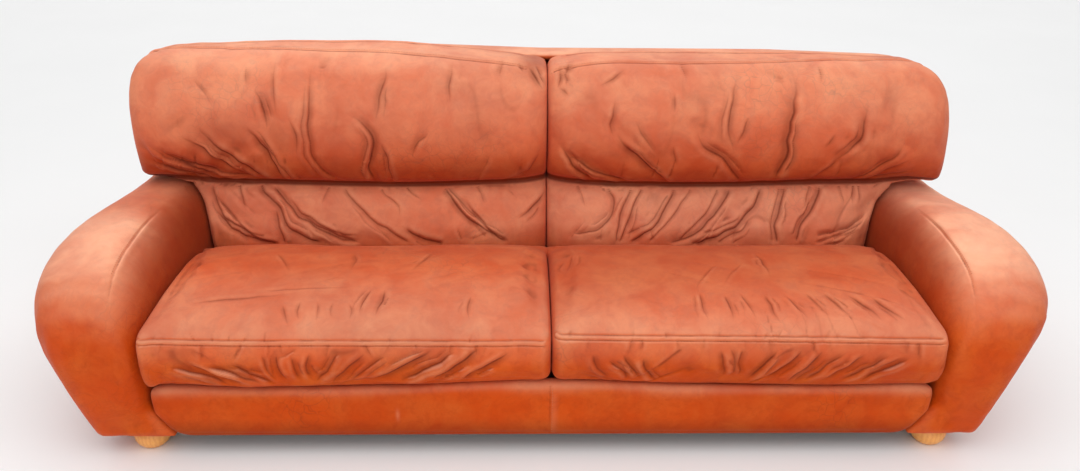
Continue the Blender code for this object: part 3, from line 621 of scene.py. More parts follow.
    def puckers(self, seam, into, spacing, length, width, depth, turn=0.5):
        """Small folds that run from a seam into the cover."""
        into = Vector(into)
        place = self.random.uniform(0.0, spacing)
        total = len(seam) * STEP
        while place < total:
            start = seam[min(int(place / STEP), len(seam) - 1)]
            reach = length * self.random.uniform(0.45, 1.0)
            heading = into + Vector((self.random.uniform(-turn, turn), 0, 0))
            bend = self.random.uniform(-0.3, 0.3)
            line = [
                Vector(start) + heading * reach * t + Vector((bend * reach * t * t, 0, 0))
                for t in (0.0, 0.5, 1.0)
            ]
            strength = self.random.uniform(0.2, 1.0)
            path = self.snapped(line)
            width_here = width * self.random.uniform(0.7, 1.4)
            self.press(path, width_here, depth * strength, 0.15, 0.7, 0.7 * strength)
            place += spacing * self.random.uniform(0.3, 1.9)

    def seam(self, path, half=0.0, width=0.0035, depth=0.0025, worn=0.5, last=0.02, dark=0.75, first=0.0):
        """Draw the cover in along a seam, or along both edges of a double one."""
        found = self.near(path, max(0.02, half * 3))
        if found is None:
            return
        near, share, side = found
        taper = ease((1 - share) / last)
        if first:
            taper = taper * ease(share / first)
        faint = 0.65 + 0.7 * noise_at(np.stack([share * len(path) * STEP / 0.04] * 3, 1), 5)
        offset = np.abs(side)
        groove = np.exp(-(((offset - half) / width) ** 2))
        if half:
            raised = np.exp(-((offset / max(half, 0.006)) ** 4))
        else:
            raised = 0.6 * np.exp(-((side / 0.008 - 1.0) ** 2))
        self.points[near] += self.normals[near] * (taper * depth * (0.9 * raised - groove))[:, None]
        line = np.exp(-(((offset - half) / (0.6 * width)) ** 2))
        self.shade_and_seam_lines[near] = np.maximum(self.shade_and_seam_lines[near], dark * np.clip(faint, 0.15, 1.0) * taper * line)
        self.wear_and_highlight[near] = np.maximum(self.wear_and_highlight[near], worn * taper * raised * (1 - groove))

    def darken(self, amounts):
        """Darken towards the dark shade tone: painted shade where less light falls, in creases, recesses and
        on low and inner faces, and a few other darker patches.
        """
        self.shade_and_seam_lines = np.maximum(self.shade_and_seam_lines, amounts)

    def pale_patch(self, centre, size, strength):
        """Paint a pale patch: used both for worn spots and for painted highlights."""
        gap = (self.points - np.array(centre)) / np.array(size)
        self.wear_and_highlight = np.maximum(self.wear_and_highlight, strength * np.exp(-(gap**2).sum(1)))

    def finish(self):
        """Store the masks: painted shade darkens the hollows, and crests wear pale."""
        self.settle()
        mesh = self.obj.data
        edges = edges_of(mesh)
        bend = (around(self.points, edges, len(self.points)) - self.points) * self.normals
        bend = bend.sum(1, keepdims=True)
        for _ in range(3):
            bend = 0.5 * bend + 0.5 * around(bend, edges, len(self.points))
        bend = bend[:, 0] / 0.00014
        hollow = np.clip(bend - 0.25, 0.0, 1.0)
        crest = np.clip(-bend - 0.45, 0.0, 1.0)
        # Painted shade in the hollows, found from how the surface bends
        shade_and_seam_lines = np.clip(np.maximum(self.shade_and_seam_lines * 0.96, 0.55 * hollow), 0.0, 1.0)
        wear_and_highlight = np.clip(self.wear_and_highlight + 0.15 * crest, 0.0, 1.0)
        for name, values in (("shade_and_seam_lines", shade_and_seam_lines), ("wear_and_highlight", wear_and_highlight), ("fade", self.fade)):
            layer = mesh.attributes.new(name, "FLOAT", "POINT")
            layer.data.foreach_set("value", values.astype(np.float32))
        mesh.shade_smooth()
        mesh.materials.append(leather(self.obj.name + "_leather", self.random.uniform(0, 40)))


def stitches(name, cover, path, offset, pitch, length=0.0042, radius=0.0006):
    """A row of thread stitches that stands proud beside a seam."""
    spine = np.concatenate([[0.0], np.cumsum(np.linalg.norm(np.diff(path, axis=0), axis=1))])
    along = np.gradient(path, axis=0)
    verts, faces = [], []
    sides = 6
    for place in np.arange(pitch, spine[-1] - pitch, pitch):
        here = Vector([np.interp(place, spine, path[:, axis]) for axis in range(3)])
        heading = Vector([np.interp(place, spine, along[:, axis]) for axis in range(3)]).normalized()
        normal = cover.tree.find_nearest(here)[1]
        across = normal.cross(heading).normalized()
        middle, normal, _, _ = cover.tree.find_nearest(here + across * offset)
        if middle is None:
            continue
        first = len(verts)
        for t, size in ((-0.5, 0.0), (-0.3, 0.8), (0.3, 0.8), (0.5, 0.0)):
            lift = 0.55 * radius * (1 - 4 * t * t) - 0.2 * radius
            ring = middle + heading * length * t + normal * lift
            if size == 0.0:
                verts.append(ring)
                continue
            for k in range(sides):
                angle = math.tau * k / sides
                verts.append(ring + (across * math.cos(angle) + normal * math.sin(angle)) * radius * size)
        for k in range(sides):
            after = (k + 1) % sides
            faces.append((first, first + 1 + after, first + 1 + k))
            faces.append((first + 1 + k, first + 1 + after, first + 7 + after, first + 7 + k))
            faces.append((first + 7 + k, first + 7 + after, first + 13))
    mesh = bpy.data.meshes.new(name)
    mesh.from_pydata([tuple(v) for v in verts], [], faces)
    obj = bpy.data.objects.new(name, mesh)
    bpy.context.scene.collection.objects.link(obj)
    bm = bmesh.new()
    bm.from_mesh(mesh)
    bmesh.ops.recalc_face_normals(bm, faces=bm.faces)
    bm.to_mesh(mesh)
    bm.free()
    mesh.shade_smooth()
    mesh.materials.append(THREAD)
    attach(obj, "root")
    return obj


# Materials


class Graph:
    """Adds nodes to a tree and links them."""

    def __init__(self, tree):
        self.tree = tree

    def add(self, kind, inputs=None, **settings):
        node = self.tree.nodes.new("ShaderNode" + kind)
        for name, value in settings.items():
            setattr(node, name, value)
        for name, value in (inputs or {}).items():
            if isinstance(value, bpy.types.NodeSocket):
                self.tree.links.new(value, node.inputs[name])
            else:
                node.inputs[name].default_value = value
        return node

    def value(self, operation, a, b=0.0):
        return self.add("Math", {0: a, 1: b}, operation=operation).outputs[0]

    def blend(self, factor, a, b, mode="MIX"):
        return self.add("Mix", {0: factor, 6: a, 7: b}, data_type="RGBA", blend_type=mode).outputs[2]

    def fit(self, value, low, high, to_low=0.0, to_high=1.0):
        inputs = {"Value": value, "From Min": low, "From Max": high, "To Min": to_low, "To Max": to_high}
        return self.add("MapRange", inputs).outputs[0]

    def noise(self, place, scale, detail=3.0, roughness=0.5, distortion=0.0):
        inputs = {
            "Vector": place,
            "Scale": scale,
            "Detail": detail,
            "Roughness": roughness,
            "Distortion": distortion,
        }
        return self.add("TexNoise", inputs).outputs[0]

    def cells(self, place, scale, feature="DISTANCE_TO_EDGE"):
        return self.add("TexVoronoi", {"Vector": place, "Scale": scale}, feature=feature).outputs[0]


def new_group(name, inputs, outputs):
    """A node group with the named sockets: its graph, and the outputs of its input node."""
    tree = bpy.data.node_groups.new(name, "ShaderNodeTree")
    for socket, kind in inputs.items():
        tree.interface.new_socket(name=socket, in_out="INPUT", socket_type="NodeSocket" + kind)
    for socket, kind in outputs.items():
        tree.interface.new_socket(name=socket, in_out="OUTPUT", socket_type="NodeSocket" + kind)
    return Graph(tree), tree.nodes.new("NodeGroupInput").outputs, tree.nodes.new("NodeGroupOutput").inputs


def rgba(colour):
    return (*colour, 1.0)


def leather_and_painted_light():
    """Aged leather: pores, crazing, mottled dye, painted shade in folds and hollows, pale wear with painted
    highlights, and a painted sheen.
    """
    graph, given, out = new_group(
        "leather_and_painted_light",
        {"Place": "Vector", "Tone": "Color", "Shade_And_Seam_Lines": "Float", "Wear_And_Highlight": "Float", "Fade": "Float"},
        {"Colour": "Color", "Roughness": "Float", "Height": "Float"},
    )
    place = given["Place"]
    stray = graph.add("TexNoise", {"Vector": place, "Scale": 14.0, "Detail": 2.0}).outputs[1]
    stray = graph.add("VectorMath", {0: stray, 1: (0.5, 0.5, 0.5)}, operation="SUBTRACT").outputs[0]
    stray = graph.add("VectorMath", {0: stray, "Scale": 0.06}, operation="SCALE").outputs[0]
    bent = graph.add("VectorMath", {0: place, 1: stray}, operation="ADD").outputs[0]

    broad = graph.noise(place, 3.5, 4.0, 0.55)
    cloud = graph.noise(bent, 9.0, 5.0, 0.6, 0.3)
    speck = graph.noise(place, 90.0, 3.0, 0.6)
    fleck = graph.noise(bent, 34.0, 5.0, 0.68)
    pores = graph.cells(place, 520.0)
    pebble = graph.cells(place, 260.0, "F1")
    craze = graph.cells(bent, 40.0)
    craze_line = graph.fit(craze, 0.0, 0.045, 1.0, 0.0)
    patch = graph.fit(graph.noise(place, 5.0, 2.0), 0.52, 0.70)
    craze_line = graph.value("MULTIPLY", craze_line, patch)
    fine = graph.cells(bent, 110.0)
    fine_line = graph.fit(fine, 0.0, 0.05, 1.0, 0.0)
    fine_line = graph.value("MULTIPLY", fine_line, graph.fit(graph.noise(place, 9.0, 2.0), 0.45, 0.7))

    tone = graph.blend(graph.fit(broad, 0.35, 0.65, 0.0, 0.50), given["Tone"], rgba(DEEP_TONE))
    tone = graph.blend(graph.fit(cloud, 0.40, 0.70, 0.0, 0.50), tone, rgba(LIGHT_TONE))
    tone = graph.blend(graph.fit(speck, 0.35, 0.75, 0.0, 0.14), tone, rgba(DEEP_TONE))
    tone = graph.blend(graph.fit(fleck, 0.46, 0.66, 0.0, 0.42), tone, rgba(DEEP_TONE))
    tone = graph.blend(graph.value("MULTIPLY", craze_line, 0.28), tone, rgba(SHADE_AND_CRACK_TONE))
    tone = graph.blend(graph.value("MULTIPLY", fine_line, 0.16), tone, rgba(SHADE_AND_CRACK_TONE))
    # Painted sheen: a pale tint added where the upward faces catch the light
    sheen_amount = graph.value("MULTIPLY", given["Fade"], graph.fit(cloud, 0.30, 0.65, 0.75, 1.28))
    tone = graph.blend(sheen_amount, tone, rgba(SHEEN_TINT), "ADD")
    # Pale wear, and the painted highlights kept with it
    worn = graph.value("MULTIPLY", given["Wear_And_Highlight"], graph.fit(cloud, 0.25, 0.65, 0.45, 1.1))
    tone = graph.blend(graph.value("MULTIPLY", worn, 0.75), tone, rgba(WORN_AND_HIGHLIGHT_TONE))
    # Painted shade in folds, hollows and recesses, with the dark seam lines
    tone = graph.blend(graph.value("MULTIPLY", given["Shade_And_Seam_Lines"], 0.95), tone, rgba(SHADE_AND_CRACK_TONE))
    graph.tree.links.new(tone, out["Colour"])

    rough = graph.fit(cloud, 0.3, 0.7, 0.42, 0.56)
    rough = graph.value("ADD", rough, graph.value("MULTIPLY", given["Wear_And_Highlight"], 0.10))
    rough = graph.value("ADD", rough, graph.value("MULTIPLY", given["Shade_And_Seam_Lines"], 0.18))
    graph.tree.links.new(rough, out["Roughness"])

    height = graph.value("MULTIPLY", graph.fit(pores, 0.0, 0.12), 0.20)
    height = graph.value("ADD", height, graph.value("MULTIPLY", pebble, 0.25))
    height = graph.value("SUBTRACT", height, graph.value("MULTIPLY", craze_line, 0.7))
    height = graph.value("SUBTRACT", height, graph.value("MULTIPLY", fine_line, 0.45))
    height = graph.value("ADD", height, graph.value("MULTIPLY", cloud, 1.0))
    graph.tree.links.new(height, out["Height"])
    return graph.tree


LEATHER_AND_PAINTED_LIGHT = leather_and_painted_light()


def new_material(name, roughness=0.5, metallic=0.0):
    made = bpy.data.materials.new(name)
    made.use_nodes = True
    shader = made.node_tree.nodes["Principled BSDF"]
    shader.inputs["Roughness"].default_value = roughness
    shader.inputs["Metallic"].default_value = metallic
    return made, Graph(made.node_tree), shader


def leather(name, shift):
    made, graph, shader = new_material(name)
    place = graph.add("TexCoord").outputs["Object"]
    place = graph.add("Mapping", {"Vector": place, "Location": (shift, shift * 0.7, 0.0)}).outputs[0]
    finish = graph.add("Group", node_tree=LEATHER_AND_PAINTED_LIGHT)
    graph.tree.links.new(place, finish.inputs["Place"])
    finish.inputs["Tone"].default_value = rgba(LEATHER_TONE)
    for mask in ("Shade_And_Seam_Lines", "Wear_And_Highlight", "Fade"):
        layer = graph.add("Attribute", attribute_name=mask.lower())
        graph.tree.links.new(layer.outputs["Fac"], finish.inputs[mask])
    bump = graph.add("Bump", {"Height": finish.outputs["Height"], "Strength": 0.55, "Distance": 0.0009})
    graph.tree.links.new(finish.outputs["Colour"], shader.inputs["Base Color"])
    graph.tree.links.new(finish.outputs["Roughness"], shader.inputs["Roughness"])
    graph.tree.links.new(bump.outputs[0], shader.inputs["Normal"])
    shader.inputs["Specular IOR Level"].default_value = 0.10
    shader.inputs["Sheen Weight"].default_value = 0.05
    shader.inputs["Sheen Roughness"].default_value = 0.45
    shader.inputs["Sheen Tint"].default_value = (1.0, 0.80, 0.74, 1.0)
    return made


def timber(name, light, dark, scale=1.0, gloss=0.5):
    """Sawn or turned wood with rings, streaks and pores."""
    made, graph, shader = new_material(name, gloss)
    place = graph.add("TexCoord").outputs["Object"]
    place = graph.add("Mapping", {"Vector": place, "Scale": (1.0, 0.12, 1.0)}).outputs[0]
    streak = graph.noise(place, 60.0 * scale, 6.0, 0.65, 0.6)
    waves = {"Vector": place, "Scale": 14.0 * scale, "Distortion": 6.0, "Detail": 3.0}
    ring = graph.add("TexWave", waves).outputs[1]
    pore = graph.noise(place, 420.0 * scale, 2.0, 0.5)
    grain = graph.value("ADD", graph.value("MULTIPLY", streak, 0.6), graph.value("MULTIPLY", ring, 0.4))
    tone = graph.blend(graph.fit(grain, 0.25, 0.75), rgba(light), rgba(dark))
    tone = graph.blend(graph.fit(pore, 0.60, 0.72, 0.0, 0.45), tone, rgba([part * 0.45 for part in dark]))
    graph.tree.links.new(tone, shader.inputs["Base Color"])
    graph.tree.links.new(graph.fit(grain, 0.2, 0.8, gloss - 0.06, gloss + 0.10), shader.inputs["Roughness"])
    bump = graph.add("Bump", {"Height": grain, "Strength": 0.35, "Distance": 0.0006})
    graph.tree.links.new(bump.outputs[0], shader.inputs["Normal"])
    return made


def cloth(name, light, dark, scale):
    """Plain-woven or felted cloth with dust on it."""
    made, graph, shader = new_material(name, 0.92)
    place = graph.add("TexCoord").outputs["Object"]
    threads = {"Vector": place, "Scale": scale, "Distortion": 0.6}
    warp = graph.add("TexWave", threads, bands_direction="X").outputs[1]
    weft = graph.add("TexWave", threads, bands_direction="Y").outputs[1]
    weave = graph.value("MULTIPLY", warp, weft)
    dust = graph.noise(place, 7.0, 5.0, 0.65)
    tone = graph.blend(weave, rgba(dark), rgba(light))
    tone = graph.blend(graph.fit(dust, 0.48, 0.75, 0.0, 0.35), tone, rgba((0.22, 0.19, 0.16)))
    graph.tree.links.new(tone, shader.inputs["Base Color"])
    bump = graph.add("Bump", {"Height": weave, "Strength": 0.5, "Distance": 0.0006})
    graph.tree.links.new(bump.outputs[0], shader.inputs["Normal"])
    return made


def zinc(name):
    made, graph, shader = new_material(name, 0.35, 1.0)
    place = graph.add("TexCoord").outputs["Object"]
    dull = graph.noise(place, 160.0, 4.0, 0.6)
    tone = graph.blend(graph.fit(dull, 0.35, 0.7), rgba((0.62, 0.62, 0.63)), rgba((0.42, 0.40, 0.37)))
    graph.tree.links.new(tone, shader.inputs["Base Color"])
    graph.tree.links.new(graph.fit(dull, 0.3, 0.7, 0.28, 0.55), shader.inputs["Roughness"])
    return made


def thread():
    made, graph, shader = new_material("rust_thread", 0.65)
    place = graph.add("TexCoord").outputs["Object"]
    twist = graph.noise(place, 700.0, 3.0, 0.6)
    fade = graph.noise(place, 6.0, 3.0, 0.6)
    tone = graph.blend(graph.fit(twist, 0.3, 0.7), rgba((0.40, 0.085, 0.022)), rgba((0.54, 0.150, 0.050)))
    tone = graph.blend(graph.fit(fade, 0.45, 0.75, 0.0, 0.4), tone, rgba((0.68, 0.34, 0.20)))
    graph.tree.links.new(tone, shader.inputs["Base Color"])
    return made


THREAD = thread()


# Pieces


def keep(cover, name_of_slot, *nodes, fill=0.8):
    cover.finish()
    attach(cover.obj, "root")
    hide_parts(*nodes)


def rail_rise(x):
    """How far the front rail's padding stands up between the seats and at its ends."""
    return 0.016 * np.exp(-((x / 0.28) ** 2)) + 0.006 * np.exp(-(((np.abs(x) - 0.83) / 0.12) ** 2))


def seat(side, seed):
    node = side + "_seat_cushion"
    low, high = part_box(node)
    obj = soft_copy(node, side + "_seat", 0.0075, 26)
    filled(obj, 4.0, 0.008, 0.02, lambda p: p[:, 2] < low.z + 0.012)
    refine(obj)
    cover = Cover(obj, seed)
    inside = span(cover.points[:, 0], low.x + 0.04, high.x - 0.04, 0.03)
    cover.sway(0.21, 0.0040, seed, inside * np.maximum(cover.facing(0, 0, 1), cover.facing(0, -1, 0)))
    if side == "left":
        along = span(cover.points[:, 0], -0.72, -0.38, 0.36) * 0.028
        over_rail = ease((0.027 - cover.depths()) / 0.012) * ease((0.265 - cover.points[:, 2]) / 0.085)
        cover.points[:, 2] -= along * over_rail
    low_front = ease((0.275 - cover.points[:, 2]) / 0.09) * ease((0.12 - cover.depths()) / 0.08)
    cover.points[:, 2] += rail_rise(cover.points[:, 0]) * low_front
    for x, way in ((low.x, (-1, 1)), (high.x, (1, 1))):
        cover.square_off((x, high.y), way, 0.055, 1.0)
    cover.settle()

    seam_line = tuple(zip((low.x + 0.008, high.x - 0.008), SEAT_SEAM[side]))
    seam = cover.from_front(seam_line)
    top = cover.traced(fanned(TOP_CREASES[side], low.x, high.x, seed + 21), cover.from_above)
    front = cover.traced(fanned(FRONT_CREASES[side], low.x, high.x, seed + 22), cover.from_front)
    cover.split_near([seam] + [path for _, path in top + front], 0.011)
    cover.folds(top, 0.0066, 0.0042, 0.30, 0.60)
    cover.folds(front, 0.0080, 0.0058, 0.25, 0.30)
    x = cover.points[:, 0]
    top_zone = cover.facing(0, 0, 1) * span(x, low.x + 0.06, high.x - 0.06, 0.05)
    strip = top_zone * span(cover.depths(), 0.030, 0.110, 0.06)
    front_zone = cover.facing(0, -1, 0) * span(cover.points[:, 2], 0.200, 0.290, 0.015)
    lean = -0.45 if side == "left" else 0.55
    if side == "right":
        cover.wrinkles(strip, (lean * 0.4, -1, 0), 0.034, 0.240, 0.0012, seed + 1, 0.22, (0, 0, 1))
    cover.wrinkles(top_zone, (1, -lean, 0), 0.070, 0.420, 0.0012, seed + 4, 0.10, (0, 0, 1))
    turn = -0.58 if side == "left" else 0.20
    left_zone = front_zone * ease((turn - x) / 0.10 + 0.5)
    cover.wrinkles(left_zone, (1, 0, -0.7), 0.034, 0.240, 0.0022, seed + 7, 0.45)
    cover.wrinkles(front_zone - left_zone, (-1, 0, -0.8), 0.034, 0.240, 0.0022, seed + 10, 0.45)
    cover.puckers(seam[8:-8], (0, 0.8, 0.25), 0.075, 0.055, 0.0040, 0.0012)
    cover.puckers(seam[8:-8], (0, 0.0, -1.0), 0.050, 0.060, 0.0050, 0.0022)
    cover.settle()
    seam = cover.from_front(seam_line)
    cover.seam(seam, half=0.0056, width=0.0022, depth=0.0015, worn=0.55 if side == "left" else 0.35)
    middle = (low.x + high.x) / 2
    cover.pale_patch((middle, FRONT_Y + 0.03, 0.325), (0.36, 0.05, 0.03), 0.15)
    cover.settle()
    upward = cover.facing(0, 0, 1)
    # Painted sheen: paler on the upward faces, strongest at the front, and on the upper part of the front face
    pale = (0.175, 0.135, 0.060, 0.030) if side == "left" else (0.175, 0.100, 0.036, 0.022)
    cover.fade = upward * np.interp(cover.depths(), (0.0, 0.10, 0.25, 0.50), pale)
    cover.fade = np.maximum(cover.fade, 0.06 * ease((cover.points[:, 2] - 0.24) / 0.07))
    # Painted shade low on the front face, over the rail, and at the rear, under the back cushions
    cover.darken(0.18 * ease((0.225 - cover.points[:, 2]) / 0.04))
    cover.darken(0.15 * ease((cover.depths() - 0.38) / 0.10))
    # Darker on the seat's top towards the front
    top_darkening = (0.18, 0.14, 0.0) if side == "left" else (0.04, 0.12, 0.12)
    cover.darken(upward * np.interp(cover.depths(), (0.0, 0.12, 0.24), top_darkening))
    for number, offset in (("upper", 0.0060), ("lower", -0.0060)):
        stitches(f"{side}_seat_{number}_stitches", cover, seam, offset, 0.0065)
    keep(cover, "seat_leather", node, fill=0.75)


def back(side, seed):
    node = side + "_back_cushion"
    low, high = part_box(node)
    obj = soft_copy(node, side + "_back", 0.0075, 22)
    filled(obj, 4.0, 0.008, 0.02, lambda p: p[:, 1] > high.y - 0.012)
    refine(obj)
    cover = Cover(obj, seed)
    inside = span(cover.points[:, 0], low.x + 0.04, high.x - 0.04, 0.03)
    cover.sway(0.18, 0.0045, seed, inside * np.maximum(0.4 * cover.facing(0, 0, 1), cover.facing(0, -1, 0)))
    cover.settle()

    rolls = cover.traced(reaching(ROLL_FOLDS[side], 0.462, 9.0, 0.035), cover.from_front)
    lumbar = cover.traced(reaching(LUMBAR_FOLDS[side], 0.312, 0.447, 0.045), cover.from_front)
    ends = (low.x + 0.05, high.x - 0.05)
    sign = -1 if side == "left" else 1
    seam = cover.from_above(sorted((sign * out, depth) for out, depth in ROLL_SEAM))
    cover.split_near([seam] + [path for _, path in rolls + lumbar], 0.012)
    cover.folds(rolls, 0.0095, 0.0070, 0.40, 0.12, 0.500)
    cover.folds(lumbar, 0.0078, 0.0062, 0.22, 0.10, 0.345, 0.435)
    x, z = cover.points[:, 0], cover.points[:, 2]
    front = cover.facing(0, -1, 0.3) * span(x, low.x + 0.05, high.x - 0.05, 0.04)
    roll_zone = front * span(z, 0.480, 0.700, 0.05)
    lumbar_zone = front * span(z, 0.330, 0.430, 0.015)
    cover.wrinkles(roll_zone, (0.12, 0, 1), 0.065, 0.340, 0.0022, seed + 1, 0.22)
    cover.wrinkles(roll_zone * span(z, 0.4, 0.50, 0.08), (0.15, 0, 1), 0.038, 0.240, 0.0020, seed + 4, 0.35)
    slope = -0.95 if side == "left" else 1.45
    cover.wrinkles(lumbar_zone, (1, 0, slope), 0.044, 0.300, 0.0034, seed + 7, 0.40)
    tuck = cover.from_front([(ends[0], 0.474), (sum(ends) / 2, 0.474), (ends[1], 0.474)])
    cover.puckers(tuck, (0, 0.0, 1.0), 0.085, 0.060, 0.0060, 0.0022)
    reach = 0.84
    ends = (max(ends[0], -reach), min(ends[1], reach))
    foot = cover.from_front([(ends[0], 0.318), (sum(ends) / 2, 0.318), (ends[1], 0.318)])
    cover.puckers(foot, (0.2 if side == "right" else -0.4, 0.0, 1.0), 0.070, 0.075, 0.0055, 0.0026)
    cover.settle()
    cover.seam(seam, width=0.0030, depth=0.0030, worn=0.30)
    rear = cover.from_above([(low.x + 0.05, 0.674), (high.x - 0.05, 0.674)])
    cover.seam(rear, width=0.0032, depth=0.0022, worn=0.2)
    cover.settle()
    x, z = cover.points[:, 0], cover.points[:, 2]
    # Painted sheen, stronger on the higher parts of the roll and of the lumbar part, which turn up towards the
    # light
    roll_sheen = np.interp(z, (0.46, 0.52, 0.60, 0.68, 0.74, 0.78), (0.030, 0.045, 0.10, 0.14, 0.15, 0.24))
    lumbar_pale = (0.06, 0.13, 0.14) if side == "left" else (0.08, 0.16, 0.17)
    lumbar_sheen = np.interp(z, (0.31, 0.36, 0.44), lumbar_pale)
    cover.fade = np.where(z > CREASE_LEVEL, roll_sheen, lumbar_sheen)
    front = cover.facing(0, -1, 0)
    # Painted shade in the crease under the roll
    cover.darken(0.95 * span(z, 0.451, 0.461, 0.006) * ease((0.10 - cover.normals[:, 1]) / 0.1))
    if side == "left":
        # Darker patches on the left roll: two on its front and one at its inner top corner
        cover.darken(0.26 * np.exp(-(((x + 0.765) / 0.090) ** 2) - ((z - 0.595) / 0.045) ** 2))
        cover.darken(0.22 * np.exp(-(((x + 0.640) / 0.070) ** 2) - ((z - 0.585) / 0.050) ** 2))
        cover.darken(0.45 * np.exp(-(((x + 0.020) / 0.035) ** 2) - ((z - 0.760) / 0.030) ** 2))
    # Painted shade on the lower part of the roll and of the lumbar part
    roll_shade_level = 0.57 if side == "left" else 0.54
    roll_shade = 0.38 * ease((roll_shade_level - z) / 0.08)
    lumbar_shade = 0.10 + 0.16 * ease((0.385 - z) / 0.07)
    cover.darken(front * np.where(z > CREASE_LEVEL, roll_shade, lumbar_shade))
    cover.points[:, 2] -= (
        0.010
        * np.exp(-(((np.abs(x) - 0.36) / 0.28) ** 2))
        * np.exp(-(((z - 0.462) / 0.045) ** 2))
        * ease((-cover.normals[:, 1] + 0.6) / 0.6)
    )
    stitches(f"{side}_roll_stitches", cover, seam, 0.0055, 0.0065)
    keep(cover, "back_leather", node, fill=0.7)


def arm(side, sign, seed):
    node = side + "_arm"
    obj = soft_copy(node, side + "_arm_cover", 0.0090, 34)
    refine(obj)
    cover = Cover(obj, seed)
    seam = cover.snapped(arm_seam(sign))
    cover.split_near([seam], 0.014)
    cover.seam(seam, width=0.0026, depth=0.0014, worn=0.50 if side == "left" else 0.08, last=0.35, first=0.35)
    cover.settle()
    stitches(f"{side}_arm_stitches", cover, seam[: len(seam) * 3 // 4], 0.0050 * sign, 0.0065)
    worn = 0.55 if side == "left" else 0.25
    cover.pale_patch((sign * 0.91, FRONT_Y + 0.09, 0.41), (0.03, 0.10, 0.07), worn)
    # Painted highlight: a broad pale patch over the arm's top
    cover.pale_patch((sign * 1.02, FRONT_Y + 0.15, 0.44), (0.14, 0.20, 0.05), 0.25)
    # Painted sheen on the upward faces, weaker on the inner side, the front and towards the rear
    upward = ease((cover.normals[:, 2] + 0.15) / 1.15) * ease((cover.points[:, 2] - 0.25) / 0.17)
    inward = ease(-sign * cover.normals[:, 0] - 0.1) * ease((1.06 - sign * cover.points[:, 0]) / 0.1)
    forward = ease((-cover.normals[:, 1] - 0.10) / 0.60)
    rear = ease((cover.depths() - 0.26) / 0.16)
    even = (1 - 0.7 * inward) * (1 - 0.6 * forward) * (1 - (0.6 if side == "left" else 0.1) * rear)
    cover.fade = (0.31 if side == "left" else 0.34) * upward * even
    # Painted shade on the inner side, deepening towards the back
    cover.darken(inward * np.interp(cover.depths(), (0.02, 0.15, 0.45), (0.0, 0.42, 0.62)))
    keep(cover, "arm_leather", node, fill=0.95)


def rail(seed):
    node = "front_rail_cover"
    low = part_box(node)[0]
    obj = soft_copy(node, "front_rail_leather", 0.0070, 14)
    refine(obj)
    cover = Cover(obj, seed)
    x, z = cover.points[:, 0], cover.points[:, 2]
    cover.points[:, 2] += rail_rise(x) * ease((z - 0.125) / 0.045)
    cover.settle()
    seam = cover.from_front([(0.012, 0.186), (0.012, 0.120), (0.012, 0.060)])
    hem = cover.from_front([(-0.790, 0.066), (0.0, 0.066), (0.790, 0.066)])
    cover.split_near([seam], 0.012)
    cover.seam(seam, width=0.0028, depth=0.0014, worn=0.3, dark=0.45)
    cover.seam(hem, width=0.0030, depth=0.0012, worn=0.0, dark=0.4)
    # Pale patches along the rounded top edge: painted highlights, with some wear
    for x, strength in ((0.0, 0.55), (-0.82, 0.5), (0.82, 0.6), (-0.45, 0.15), (0.30, 0.35)):
        cover.pale_patch((x, low.y + 0.01, 0.174 + rail_rise(x)), (0.10, 0.03, 0.016), strength)
    cover.pale_patch((-0.325, low.y, 0.115), (0.004, 0.02, 0.014), 0.5)
    cover.settle()
    # Painted sheen on the upward faces
    cover.fade = 0.08 * ease(cover.normals[:, 2] / 0.8)
    # Painted shade towards the bottom
    cover.darken(0.50 * ease((0.115 - cover.points[:, 2]) / 0.05))
    stitches("rail_centre_stitches", cover, seam, 0.0050, 0.0065)
    keep(cover, "arm_leather", node, fill=0.95)


def outside_back(seed):
    node = "back_cover"
    low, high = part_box(node)
    obj = soft_copy(node, "outside_back", 0.0085, 10)
    cover = Cover(obj, seed)
    rear = high.y + 0.5
    top = [(low.x + 0.05, 0.69), (0.0, 0.69), (high.x - 0.05, 0.69)]
    for name, points in (
        ("outside_back_top", top),
        ("outside_back_left", [(low.x + 0.11, 0.685), (low.x + 0.11, 0.065)]),
        ("outside_back_right", [(high.x - 0.11, 0.685), (high.x - 0.11, 0.065)]),
    ):
        curve = curve_through(points)
        path = cover.dropped([(x, rear, z) for x, z in curve], (0, -1, 0))
        cover.seam(path, width=0.0060, depth=0.0022, worn=0.25)
        stitches(name + "_stitches", cover, path, 0.0075, 0.0065)
    # Painted sheen on the upward faces
    cover.fade = 0.27 * cover.facing(0, 0, 1)
    keep(cover, "arm_leather", node, fill=0.95)


